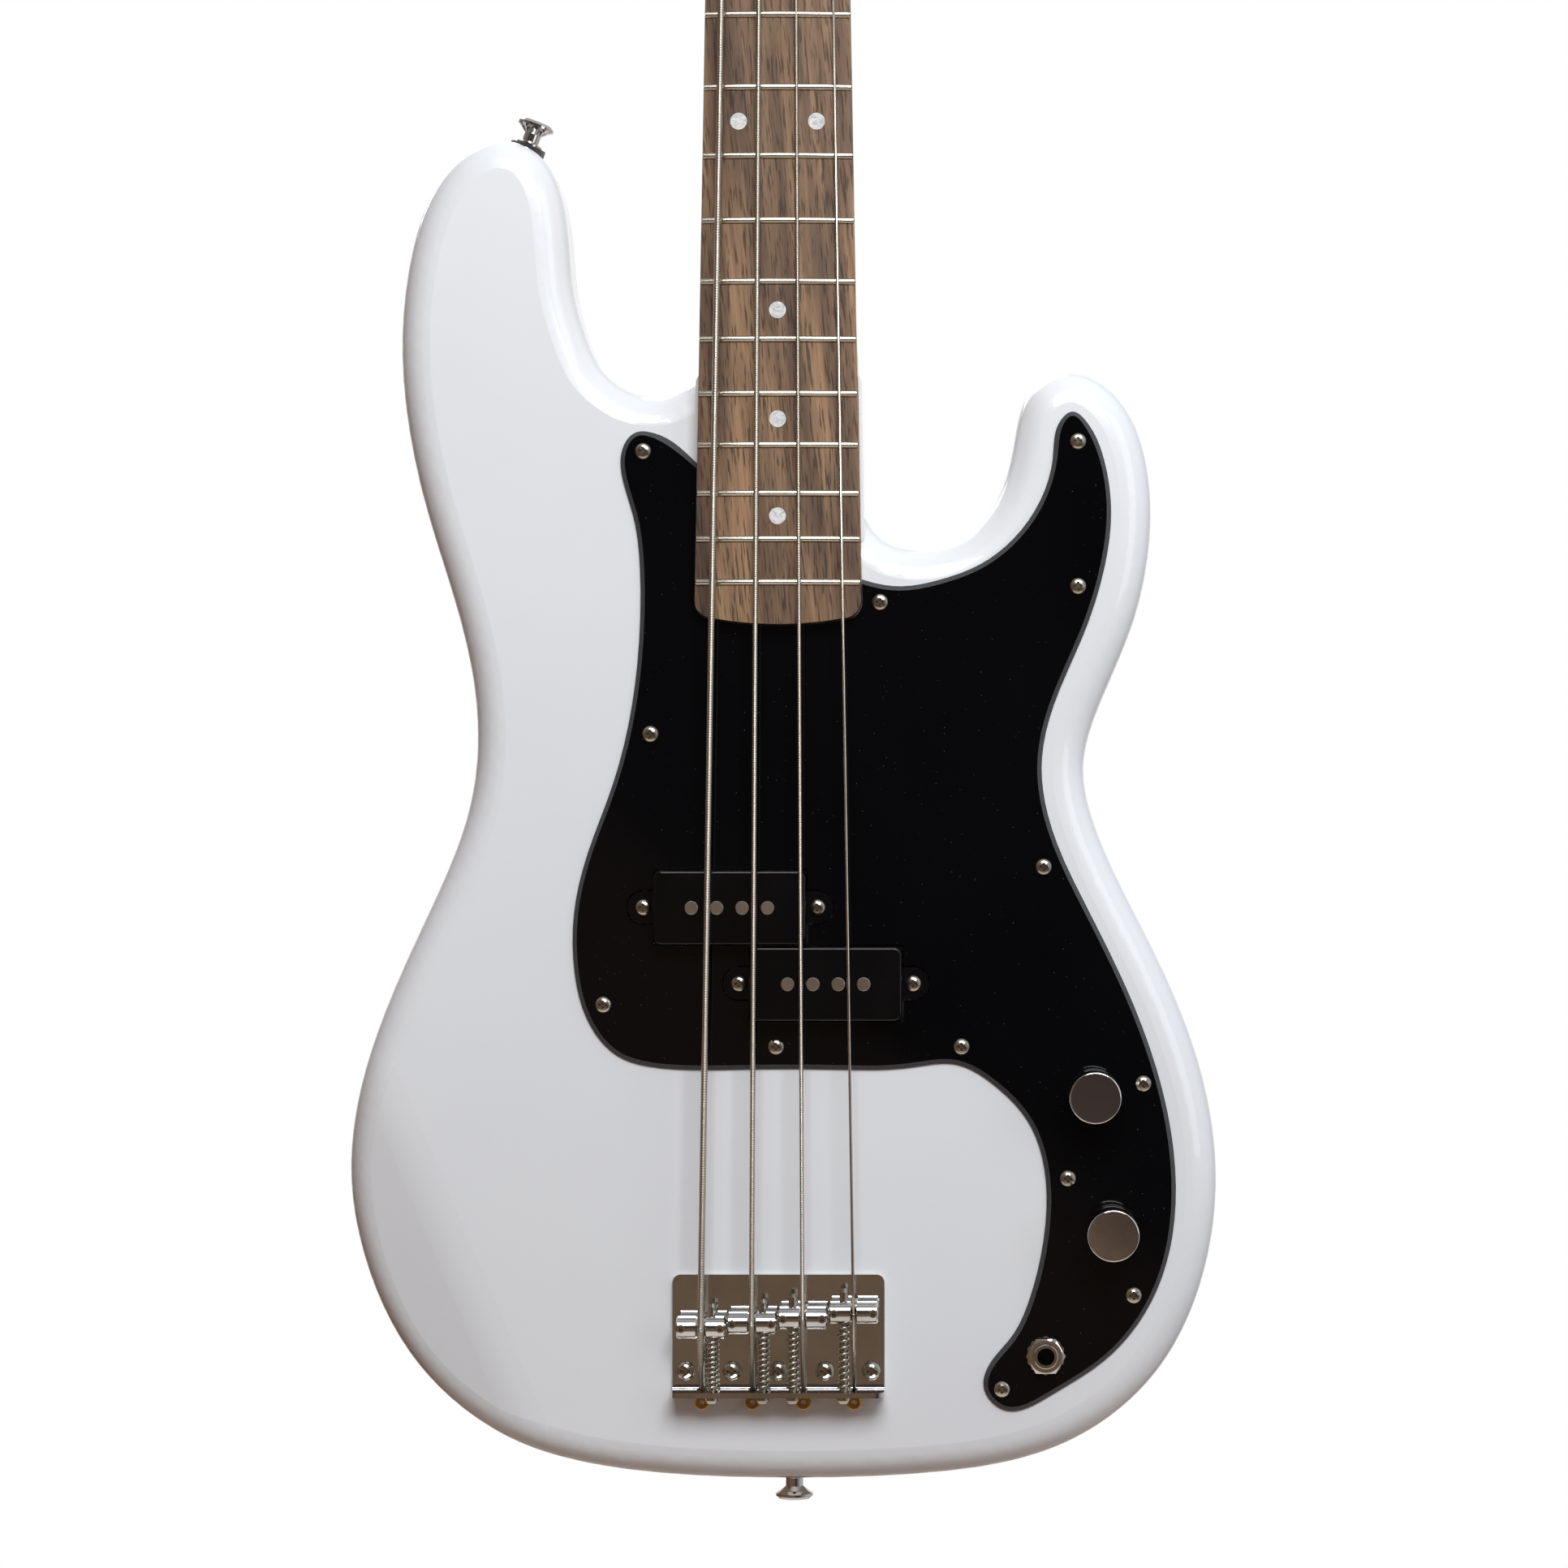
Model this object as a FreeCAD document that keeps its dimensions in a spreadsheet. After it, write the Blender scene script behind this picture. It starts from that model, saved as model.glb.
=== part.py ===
import FreeCAD, Part
import math
import os
from types import SimpleNamespace

from FreeCAD import Placement, Rotation, Vector

# Frame: millimetres, +X to the treble side, +Z up towards the headstock, front towards -Y.
# The origin is on the neck's centre line, at the nut line, in the plane of the body's front face.
# "Height" below means the distance in front of the body's face, that is, towards -Y.

SIZES = {
    # Strings, scale and neck taper
    "scale_length": 863.6,
    "string_spread_bridge": 57.15,
    "string_spread_nut": 30.0,
    "string_diameter_e": 2.6,
    "string_diameter_a": 2.1,
    "string_diameter_d": 1.65,
    "string_diameter_g": 1.15,
    "string_height_nut": 10.9,
    "string_height_saddle": 13.5,
    "string_bend_radius": 12.0,
    "string_clearance": 0.15,
    "string_turn_gap": 0.5,
    "string_post_height": 5.6,
    "string_turns": 2.5,
    "nut_width": 41.3,
    "heel_width": 62.6,
    # Body
    "body_width": 329.1,
    "body_length": 507.6,
    "body_thickness": 44.5,
    "body_edge_radius": 12.0,
    "saddle_to_bottom": 67.1,
    "heel_top": 352.0,
    "heel_lip": 1.6,
    "heel_block_length": 66.0,
    "heel_corner_radius": 5.0,
    "pocket_depth": 15.9,
    "neck_clearance": 0.2,
    "forearm_slope": 14.0,
    "forearm_blend_radius": 60.0,
    "forearm_reach": 120.0,
    "belly_radius": 260.0,
    "belly_slope": 17.0,
    "cut_overrun": 5.0,
    # Pickguard
    "pickguard_width": 227.4,
    "pickguard_length": 376.0,
    "pickguard_drop": 39.4,
    "pickguard_thickness": 2.4,
    "pickguard_bevel": 1.7,
    "pickguard_neck_gap": 0.4,
    "pickguard_screw_head": 6.1,
    "pickguard_screw_dome": 1.5,
    "pickguard_screw_shank": 2.9,
    "pickguard_screw_length": 12.0,
    # Pickup halves
    "pickup_length": 57.0,
    "pickup_width": 27.6,
    "pickup_offset_x": 18.0,
    "pickup_mid_z": 135.6,
    "pickup_offset_z": 14.3,
    "pickup_rise": 8.2,
    "pickup_height": 17.0,
    "pickup_wall": 1.6,
    "pickup_corner_radius": 3.0,
    "pickup_edge_radius": 0.9,
    "pickup_ear_radius": 6.0,
    "pickup_ear_reach": 4.2,
    "pickup_ear_rise": 1.6,
    "pickup_ear_thickness": 3.0,
    "pickup_gap": 0.7,
    "pickup_cavity_margin": 3.0,
    "pickup_cavity_depth": 21.0,
    "pole_diameter": 5.1,
    "pole_spacing": 9.5,
    "pole_proud": 0.5,
    "pole_clearance": 0.05,
    "coil_gap": 0.4,
    "coil_height": 12.0,
    "coil_flange": 1.6,
    "coil_flange_step": 1.2,
    "pickup_screw_head": 6.0,
    "pickup_screw_dome": 1.5,
    "pickup_screw_shank": 3.0,
    "pickup_screw_length": 31.0,
    "pickup_travel": 1.2,
    "slide_clearance": 0.3,
    # Bridge
    "bridge_width": 79.8,
    "bridge_front": 11.6,
    "bridge_back": 33.3,
    "bridge_plate_thickness": 2.0,
    "bridge_wall_height": 13.4,
    "bridge_bend_radius": 2.6,
    "bridge_corner_radius": 3.0,
    "bridge_screw_pitch": 17.5,
    "bridge_screw_line": 24.6,
    "bridge_screw_head": 7.0,
    "bridge_screw_dome": 2.0,
    "bridge_screw_shank": 3.6,
    "bridge_screw_length": 28.0,
    "saddle_diameter": 8.6,
    "saddle_width": 18.4,
    "saddle_groove": 0.7,
    "saddle_edge": 0.6,
    "saddle_set_e": 7.2,
    "saddle_set_a": 5.5,
    "saddle_set_d": 3.6,
    "saddle_set_g": 1.6,
    "height_screw_diameter": 3.0,
    "height_screw_offset": 7.3,
    "height_screw_proud": 0.5,
    "height_screw_socket": 1.5,
    "intonation_offset": 3.9,
    "intonation_diameter": 2.9,
    "intonation_head": 5.0,
    "intonation_head_length": 2.4,
    "intonation_slot": 0.8,
    "intonation_tip": 9.0,
    "fit_clearance": 0.06,
    "spring_wire": 0.8,
    "spring_diameter": 4.7,
    "spring_turns": 10.0,
    "ball_diameter": 5.4,
    "ball_length": 4.4,
    "ball_hole_diameter": 2.2,
    "ball_height": 4.5,
    "string_hole_gap": 0.8,
    # Knobs, potentiometers and jack
    "volume_x": 118.8,
    "volume_z": 79.3,
    "tone_x": 125.5,
    "tone_z": 28.0,
    "knob_diameter": 19.4,
    "knob_height": 15.6,
    "knob_gap": 1.8,
    "knob_chamfer": 0.9,
    "knob_hollow_diameter": 15.4,
    "knob_hollow_depth": 4.0,
    "shaft_diameter": 6.0,
    "pot_diameter": 24.0,
    "pot_height": 9.0,
    "pot_bushing_diameter": 9.5,
    "pot_lug_length": 3.2,
    "pot_lug_width": 10.0,
    "pot_lug_thickness": 1.6,
    "control_nut_width": 13.0,
    "control_nut_height": 2.2,
    "washer_thickness": 0.8,
    "jack_x": 100.6,
    "jack_z": -18.8,
    "jack_bore": 6.5,
    "jack_bushing_diameter": 9.4,
    "jack_proud": 4.2,
    "jack_nut_width": 12.8,
    "jack_nut_height": 2.4,
    "jack_washer_diameter": 14.6,
    "jack_flange_diameter": 14.0,
    "jack_flange_thickness": 2.0,
    "jack_frame_length": 15.0,
    "jack_contact_width": 5.0,
    "jack_contact_thickness": 0.8,
    "control_cavity_depth": 34.0,
    "control_cavity_radius": 16.5,
    "jack_cavity_radius": 14.0,
    "channel_diameter": 9.0,
    "channel_depth": 13.0,
    "wire_diameter": 1.6,
    "wire_bend_radius": 8.0,
    "capacitor_edge": 1.5,
    "capacitor_diameter": 7.0,
    "capacitor_length": 16.0,
    # Fingerboard and frets
    "fret_count": 20.0,
    "fingerboard_height": 9.4,
    "fingerboard_thickness": 6.0,
    "fingerboard_radius": 241.3,
    "fingerboard_overhang": 13.6,
    "fingerboard_end_bow": 2.2,
    "fingerboard_corner_radius": 7.0,
    "fret_width": 2.5,
    "fret_crown": 1.1,
    "fret_tang": 0.6,
    "fret_tang_depth": 1.6,
    "fret_inset": 0.4,
    "dot_diameter": 6.3,
    "dot_depth": 2.4,
    "octave_dot_spread": 29.2,
    "nut_thickness": 3.4,
    "nut_rise": 1.0,
    # Neck
    "heel_past_body": 6.0,
    "neck_thickness_nut": 20.5,
    "neck_thickness_heel": 23.5,
    "heel_scoop_radius": 22.0,
    "headstock_edge_radius": 2.0,
    "headstock_length": 205.0,
    "headstock_width": 84.0,
    "headstock_thickness": 14.5,
    "headstock_drop": 12.0,
    "headstock_ledge": 2.2,
    "headstock_scoop_radius": 16.0,
    "throat_radius": 24.0,
    "truss_rod_diameter": 5.0,
    "truss_rod_depth": 4.0,
    "truss_rod_margin": 14.0,
    "neck_plate_length": 63.5,
    "neck_plate_width": 50.8,
    "neck_plate_thickness": 1.6,
    "neck_plate_radius": 5.0,
    "neck_plate_below_top": 52.0,
    "neck_screw_pitch_x": 38.1,
    "neck_screw_pitch_z": 50.8,
    "neck_screw_head": 8.4,
    "neck_screw_dome": 1.6,
    "neck_screw_shank": 4.4,
    "neck_screw_length": 43.0,
    "screw_clearance": 0.1,
    "recess_width": 0.9,
    "recess_depth": 1.0,
    # Tuners
    "tuner_first": 52.0,
    "tuner_pitch": 42.0,
    "tuner_slant": 12.0,
    "post_diameter": 10.0,
    "post_head_height": 20.0,
    "post_slot": 3.4,
    "post_slot_depth": 5.0,
    "bushing_diameter": 14.0,
    "bushing_flange_diameter": 18.0,
    "bushing_flange": 1.6,
    "bushing_length": 9.0,
    "gear_teeth": 20.0,
    "gear_pitch_radius": 9.55,
    "gear_thickness": 5.0,
    "gear_lift": 2.1,
    "gear_shoulder_diameter": 14.0,
    "worm_pitch_radius": 3.45,
    "tooth_addendum": 0.8,
    "tooth_dedendum": 1.05,
    "tooth_backlash": 0.5,
    "tooth_slope": 20.0,
    "worm_turns": 3.0,
    "worm_shaft_diameter": 4.0,
    "tuner_plate_thickness": 1.6,
    "tuner_plate_width": 22.0,
    "tuner_plate_below": 14.5,
    "tuner_plate_above": 24.0,
    "tuner_plate_radius": 4.0,
    "ear_thickness": 2.4,
    "ear_gap": 0.3,
    "ear_width": 7.4,
    "gear_screw_diameter": 6.0,
    "gear_screw_height": 1.8,
    "key_distance": 31.0,
    "key_width": 25.0,
    "key_length": 29.0,
    "key_thickness": 4.4,
    "key_edge": 1.5,
    "key_collar_diameter": 7.0,
    "key_collar_length": 5.0,
    "tuner_screw_head": 5.0,
    "tuner_screw_dome": 1.2,
    "tuner_screw_shank": 2.4,
    "tuner_screw_length": 9.0,
    "tuner_screw_inset": 3.4,
    # String tree
    "tree_place": 74.0,
    "tree_diameter": 15.0,
    "tree_thickness": 2.0,
    "tree_stem_diameter": 5.0,
    "tree_gap": 2.2,
    "tree_screw_shank": 2.6,
    "tree_screw_depth": 9.0,
    # Strap buttons
    "end_button_x": 5.0,
    "horn_button_tilt": 20.0,
    "button_foot_diameter": 10.3,
    "button_stem_diameter": 6.7,
    "button_head_diameter": 14.4,
    "button_height": 9.4,
    "button_rim": 2.0,
    "button_foot_height": 1.6,
    "button_screw_head": 8.0,
    "button_screw_dome": 1.4,
    "button_screw_shank": 3.6,
    "button_screw_length": 30.0,
    "felt_diameter": 14.0,
    "felt_thickness": 2.0,
}

# Outlines: shares of the piece's width (from the centre line) and of its length (from its lowest point).
BODY_OUTLINE_SHARES = [
    (-0.146, 0.808), (-0.179, 0.814), (-0.204, 0.827), (-0.223, 0.851), (-0.238, 0.885), (-0.244, 0.924),
    (-0.255, 0.964), (-0.281, 0.991), (-0.323, 1.000), (-0.363, 0.990), (-0.401, 0.960), (-0.427, 0.908),
    (-0.436, 0.845), (-0.429, 0.788), (-0.409, 0.727), (-0.377, 0.659), (-0.351, 0.581), (-0.357, 0.505),
    (-0.393, 0.440), (-0.439, 0.375), (-0.479, 0.304), (-0.497, 0.229), (-0.480, 0.160), (-0.421, 0.085),
    (-0.316, 0.031), (-0.158, 0.005), (0.000, 0.000), (0.176, 0.004), (0.328, 0.026), (0.431, 0.077),
    (0.489, 0.154), (0.503, 0.231), (0.479, 0.319), (0.422, 0.406), (0.364, 0.486), (0.350, 0.532),
    (0.368, 0.577), (0.406, 0.637), (0.426, 0.698), (0.421, 0.763), (0.387, 0.809), (0.336, 0.826),
    (0.291, 0.814), (0.271, 0.778), (0.251, 0.732), (0.210, 0.703), (0.160, 0.694), (0.121, 0.700),
    (0.096, 0.721), (0.081, 0.755), (0.056, 0.790), (0.015, 0.815), (-0.036, 0.825), (-0.085, 0.822),
    (-0.117, 0.814),
]
FOREARM_LINE_SHARES = [(-0.442, 0.314), (-0.251, 0.022)]
BELLY_TOP_SHARES = (-0.215, 0.575)
PICKGUARD_OUTLINE_SHARES = [
    (-0.218, 0.980), (-0.245, 0.976), (-0.260, 0.960), (-0.259, 0.934), (-0.241, 0.896), (-0.230, 0.847),
    (-0.229, 0.798), (-0.236, 0.736), (-0.252, 0.677), (-0.279, 0.619), (-0.315, 0.560), (-0.338, 0.502),
    (-0.339, 0.443), (-0.312, 0.385), (-0.265, 0.354), (-0.203, 0.343), (-0.060, 0.341), (0.090, 0.341),
    (0.220, 0.343), (0.294, 0.346), (0.356, 0.326), (0.415, 0.287), (0.443, 0.228), (0.439, 0.170),
    (0.416, 0.111), (0.385, 0.072), (0.350, 0.046), (0.340, 0.022), (0.373, 0.000), (0.450, 0.014),
    (0.547, 0.053), (0.620, 0.111), (0.655, 0.185), (0.653, 0.267), (0.624, 0.346), (0.575, 0.424),
    (0.512, 0.502), (0.454, 0.580), (0.436, 0.648), (0.462, 0.716), (0.504, 0.775), (0.541, 0.847),
    (0.551, 0.902), (0.537, 0.957), (0.514, 0.987), (0.486, 1.000), (0.465, 0.989), (0.455, 0.957),
    (0.431, 0.908), (0.388, 0.872), (0.334, 0.847), (0.270, 0.832), (0.196, 0.825), (0.133, 0.833),
    (0.040, 0.862), (-0.050, 0.905), (-0.140, 0.951),
]
PICKGUARD_SCREW_SHARES = [
    (-0.224, 0.960), (0.496, 0.970), (0.496, 0.825), (0.168, 0.809), (-0.212, 0.677), (0.439, 0.544),
    (-0.290, 0.406), (-0.004, 0.364), (0.303, 0.364), (0.604, 0.327), (0.479, 0.232), (0.588, 0.115),
    (0.370, 0.021),
]
HEADSTOCK_OUTLINE_SHARES = [
    (-0.262, 0.070), (-0.360, 0.092), (-0.450, 0.130), (-0.475, 0.190), (-0.400, 0.400), (-0.215, 0.780),
    (-0.165, 0.900), (-0.090, 0.975), (0.060, 1.000), (0.270, 0.960), (0.390, 0.880), (0.425, 0.760),
    (0.435, 0.560), (0.430, 0.340), (0.405, 0.200), (0.330, 0.125), (0.262, 0.070),
]

# Profiles: shares of a piece's radius or width, and of its height or length.
SCREW_DOME_SHARES = [(0.0, 1.0), (0.44, 0.96), (0.72, 0.78), (0.92, 0.48), (1.0, 0.25)]
RECESS_SPAN_SHARE = 0.52
RECESS_START_SHARE = 0.15
HEEL_EDGE_SHARE = 0.9
BODY_EDGE_SHARE = 0.9
BALL_SHARES = [(0.86, 1.0), (1.0, 0.7), (1.0, 0.4), (0.8, 0.0)]
HORN_BUTTON_SHARES = (-0.296, 0.9959)
BUTTON_FLARE_SHARES = [(1.0, 0.5), (0.75, 0.68)]
INTONATION_HEAD_SHARES = [(0.7, 1.0), (1.0, 0.5)]
INTONATION_TIP_SHARE = 0.8
WIRE_START_SHARE = 0.45
WIRE_END_SHARE = 0.85
WIRE_DROP_SHARE = 1.1

doc = FreeCAD.newDocument("bass_guitar")
sheet = doc.addObject("Spreadsheet::Sheet", "sizes")
for row, (name, value) in enumerate(SIZES.items(), start=1):
    sheet.set("A%d" % row, name)
    sheet.set("B%d" % row, str(value))
    sheet.setAlias("B%d" % row, name)
doc.recompute()
d = SimpleNamespace(**{name: float(sheet.get(name)) for name in SIZES})

STRINGS = ["e", "a", "d", "g"]
OCTAVE = 12
backward = Vector(0, 1, 0)
pieces = {}


# Helpers

def bind(item, **rules):
    """Tie an object's sizes to the sheet: a rule is an expression in the sheet's names."""
    for prop, rule in rules.items():
        item.setExpression(prop, rule)
    return item


def keep(label, item):
    """File an object as the sub-part of that name."""
    item.Label = label
    pieces[label] = item
    return item


def solid(name, shape, place=None):
    """Hold a shape made by formula as an object of the document."""
    item = doc.addObject("Part::Feature", name)
    item.Shape = shape
    if place is not None:
        item.Placement = place
    return item


def group(name, shapes):
    """Hold several separate solids as one object."""
    return solid(name, Part.makeCompound(shapes))


def moved(shape, place):
    """A copy of a shape, carried by a placement."""
    copy = shape.copy()
    copy.Placement = place.multiply(copy.Placement)
    return copy


def at(x, y, z):
    return Placement(Vector(x, y, z), Rotation())


def flat(x, z):
    """A point of an outline in the plane of the body's face, in sketch coordinates."""
    return Vector(x, z, 0)


def corner_arc(before, point, after, radius):
    """Start, middle and end of the arc that rounds one corner."""
    back = (before - point).normalize()
    ahead = (after - point).normalize()
    half = back.getAngle(ahead) / 2
    inward = (back + ahead).normalize()
    reach = radius / math.tan(half)
    centre = point + inward * (radius / math.sin(half))
    return point + back * reach, centre - inward * radius, point + ahead * reach


def rounded_loop(points, radius):
    """Straight sides with rounded corners, as the curves of a closed outline."""
    count = len(points)
    arcs = [
        corner_arc(points[i - 1], points[i], points[(i + 1) % count], radius) for i in range(count)
    ]
    curves = []
    for i in range(count):
        curves.append(Part.Arc(*arcs[i]))
        curves.append(Part.LineSegment(arcs[i][2], arcs[(i + 1) % count][0]))
    return curves


def rectangle(mid_x, mid_z, width, length):
    half_width = width / 2
    half_length = length / 2
    return [
        flat(mid_x - half_width, mid_z - half_length),
        flat(mid_x + half_width, mid_z - half_length),
        flat(mid_x + half_width, mid_z + half_length),
        flat(mid_x - half_width, mid_z + half_length),
    ]


def closed(points):
    """Straight sides through the points, back to the first."""
    count = len(points)
    return [Part.LineSegment(points[i], points[(i + 1) % count]) for i in range(count)]


def loop_curve(points, knots):
    """A smooth closed curve through the points, which it passes at the given knots."""
    curve = Part.BSplineCurve()
    curve.interpolate(Points=points, PeriodicFlag=True, Parameters=knots)
    return curve


def chord_knots(points):
    """Lengths along the points' closed polygon, as the knots of a curve through them."""
    knots = [0.0]
    for i, point in enumerate(points):
        knots.append(knots[-1] + (points[(i + 1) % len(points)] - point).Length)
    return knots


BEND_STEPS = 8


def tightest_bend(curve, knots, widest):
    """Least radius of the outward bends of a closed curve that runs anticlockwise, up to a widest one."""
    least = widest
    for start, end in zip(knots, knots[1:]):
        for step in range(BEND_STEPS):
            spot = start + (end - start) * step / BEND_STEPS
            bend = curve.curvature(spot)
            way = curve.tangent(spot)[0]
            if bend * least > 1 and curve.normal(spot).dot(Vector(-way.y, way.x, 0)) > 0:
                least = 1 / bend
    return least


def inset(curve, knots, distance):
    """Points inside a closed curve that runs anticlockwise, each at a distance from one knot."""
    points = []
    for knot in knots[:-1]:
        way = curve.tangent(knot)[0]
        points.append(curve.value(knot) + Vector(-way.y, way.x, 0) * distance)
    return points


def new_body(label):
    body = doc.addObject("PartDesign::Body", label)
    body.Label = label
    return body


def sketch(body, curves, role="XZ_Plane", lift=0.0):
    """A sketch on one of the body's own planes, lifted along the plane's normal."""
    item = body.newObject("Sketcher::SketchObject", "outline")
    plane = [feature for feature in body.Origin.OriginFeatures if feature.Role == role][0]
    item.AttachmentSupport = (plane, [""])
    item.MapMode = "FlatFace"
    item.AttachmentOffset = at(0, 0, lift)
    item.addGeometry(curves, False)
    return item


def pad(body, outline, rule, backward=False):
    feature = body.newObject("PartDesign::Pad", "pad")
    feature.Profile = outline
    feature.Reversed = backward
    bind(feature, Length=rule)
    outline.Visibility = False
    return feature


def turned(label, profile):
    """A body of revolution about the Y axis, from points of radius and depth."""
    body = new_body(label)
    points = [Vector(radius, depth, 0) for radius, depth in profile]
    outline = sketch(body, closed(points), role="XY_Plane")
    feature = body.newObject("PartDesign::Revolution", "turn")
    feature.Profile = outline
    feature.ReferenceAxis = (outline, ["V_Axis"])
    feature.Angle = 360
    doc.recompute()
    return body


def cylinder(name, radius_rule, height_rule, place):
    """A cylinder along its own Z axis, with bound sizes."""
    item = doc.addObject("Part::Cylinder", name)
    bind(item, Radius=radius_rule, Height=height_rule)
    item.Placement = place
    return item


def cut(name, base, tools):
    """The base without the tools, as one object."""
    tool = tools[0]
    if len(tools) > 1:
        tool = doc.addObject("Part::MultiFuse", name + "_tools")
        tool.Shapes = tools
    item = doc.addObject("Part::Cut", name)
    item.Base = base
    item.Tool = tool
    item.Refine = False
    doc.recompute()
    return item


def fuse(name, items):
    item = doc.addObject("Part::MultiFuse", name)
    item.Shapes = items
    item.Refine = True
    doc.recompute()
    return item


def toward_back(x, y, z):
    """A placement whose own Z axis points from the front to the back."""
    return Placement(Vector(x, y, z), Rotation(Vector(1, 0, 0), -90))


def along_x(x, y, z):
    """A placement whose own Z axis points along X."""
    return Placement(Vector(x, y, z), Rotation(Vector(0, 1, 0), 90))


def biarc(start, start_way, end, end_way):
    """Two arcs that leave the start and reach the end along the given directions."""
    chord = end - start
    both = start_way + end_way
    square = 2 * (1 - start_way.dot(end_way))
    along = chord.dot(both)
    reach = (-along + math.sqrt(along * along + square * chord.dot(chord))) / square
    first = start + start_way * reach
    last = end - end_way * reach
    join = (first + last) * 0.5
    return [tangent_arc(start, first, join), tangent_arc(join, last, end)]


def tangent_arc(start, apex, end):
    """The arc from start to end whose end tangents meet at the apex."""
    middle = (start + end) * 0.5
    height = apex - middle
    half_chord = (end - start).Length / 2
    turn = math.atan2(height.Length, half_chord)
    rise = half_chord * math.tan(turn / 2)
    return Part.Arc(start, middle + height.normalize() * rise, end)


def tube(curves, diameter):
    """A round tube along a path of straight runs and arcs."""
    edges = [curve.toShape() for curve in curves]
    path = Part.Wire(edges)
    start = edges[0].valueAt(edges[0].FirstParameter)
    way = edges[0].tangentAt(edges[0].FirstParameter)
    section = Part.Wire([Part.Circle(start, way, diameter / 2).toShape()])
    shape = path.makePipeShell([section], True, False)
    expected = path.Length * math.pi * diameter ** 2 / 4
    if abs(shape.Volume - expected) > expected / 50:
        raise ValueError("a tube's volume is off: %g for %g" % (shape.Volume, expected))
    return shape


def least_gap(points, diameter, skip):
    """The least clear distance of a tube to itself, on points, neighbours along it left out."""
    least = None
    for i, point in enumerate(points):
        for other in points[i + skip:]:
            distance = (point - other).Length - diameter
            if least is None or distance < least:
                least = distance
    return least


# Places that several pieces share

saddle_z = -d.scale_length
bottom_z = saddle_z - d.saddle_to_bottom
heel_top_z = saddle_z + d.heel_top


def fret_z(number):
    """Height of a fret below the nut, by equal temperament."""
    return d.scale_length / 2 ** (number / OCTAVE) - d.scale_length


board_end_z = fret_z(d.fret_count) - d.fingerboard_overhang
heel_end_z = heel_top_z + d.heel_past_body


def half_width(z):
    """Half the neck's width at a height below the nut."""
    share = z / board_end_z
    return (d.nut_width + (d.heel_width - d.nut_width) * share) / 2


def string_diameter(key):
    return getattr(d, "string_diameter_" + key)


def string_place(key, spread):
    """Place of a string across the neck, evenly spread."""
    gaps = len(STRINGS) - 1
    return spread * (STRINGS.index(key) / gaps - 0.5)


def bridge_x(key):
    return string_place(key, d.string_spread_bridge)


def nut_x(key):
    return string_place(key, d.string_spread_nut)


def saddle_place(key):
    return saddle_z - getattr(d, "saddle_set_" + key)


def scaled(shares, width, low, length):
    return [flat(x_share * width, low + z_share * length) for x_share, z_share in shares]


guard_low_z = saddle_z - d.pickguard_drop
guard_screws = scaled(PICKGUARD_SCREW_SHARES, d.pickguard_width, guard_low_z, d.pickguard_length)
bridge_screws = [flat(step * d.bridge_screw_pitch, saddle_z - d.bridge_screw_line) for step in range(-2, 3)]
volume = Vector(d.volume_x, 0, saddle_z + d.volume_z)
tone = Vector(d.tone_x, 0, saddle_z + d.tone_z)
jack = Vector(d.jack_x, 0, saddle_z + d.jack_z)
pickups = {
    "bass": flat(-d.pickup_offset_x, saddle_z + d.pickup_mid_z + d.pickup_offset_z),
    "treble": flat(d.pickup_offset_x, saddle_z + d.pickup_mid_z - d.pickup_offset_z),
}
plate_mid_z = heel_top_z - d.neck_plate_below_top
neck_screws = [
    flat(side * d.neck_screw_pitch_x / 2, plate_mid_z + end * d.neck_screw_pitch_z / 2)
    for side in (-1, 1) for end in (-1, 1)
]
guard_top = -d.pickguard_thickness
wood_top = d.fingerboard_thickness - d.fingerboard_height
headstock_front = d.headstock_drop - d.fingerboard_height
headstock_back = headstock_front + d.headstock_thickness
ear_span = d.pickup_length / 2 + d.pickup_ear_reach


def pickup_screw_points(mid):
    return [flat(mid.x - ear_span, mid.y), flat(mid.x + ear_span, mid.y)]


# Screws: a domed head with a cross recess on a plain shank

def wood_screw(name, head, dome, shank, length):
    """A screw along Y: its head's seat at zero, its shank towards the back."""
    profile = [(head / 2 * wide_share, -dome * high_share) for wide_share, high_share in SCREW_DOME_SHARES]
    profile += [(head / 2, 0), (shank / 2, 0), (shank / 2, length - shank), (0, length)]
    blank = turned(name + "_blank", profile)
    tools = []
    for turn in (0, 90):
        arm = doc.addObject("Part::Box", name + "_recess")
        span = head * RECESS_SPAN_SHARE
        bind(arm, Width="sizes.recess_depth", Height="sizes.recess_width")
        arm.Length = span
        spin = Rotation(Vector(0, 1, 0), turn)
        start = -dome - d.recess_depth * RECESS_START_SHARE
        offset = spin.multVec(Vector(-span / 2, start, -d.recess_width / 2))
        arm.Placement = Placement(offset, spin)
        tools.append(arm)
    return cut(name, blank, tools)


def screw_group(label, proto, points, seat):
    """Copies of one screw at points of the front face, at a seat depth."""
    return keep(label, group(label, [moved(proto.Shape, at(p.x, seat, p.y)) for p in points]))


# Solids that several pieces are cut with

def prism(name, curves, front, back):
    """A solid with an outline in the plane of the face, between two depths."""
    face = Part.Face(Part.Wire(Part.__sortEdges__([curve.toShape() for curve in curves])))
    shape = face.extrude(Vector(0, 0, front - back))
    return solid(name, shape, Placement(Vector(0, front, 0), Rotation(Vector(1, 0, 0), 90)))


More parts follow.
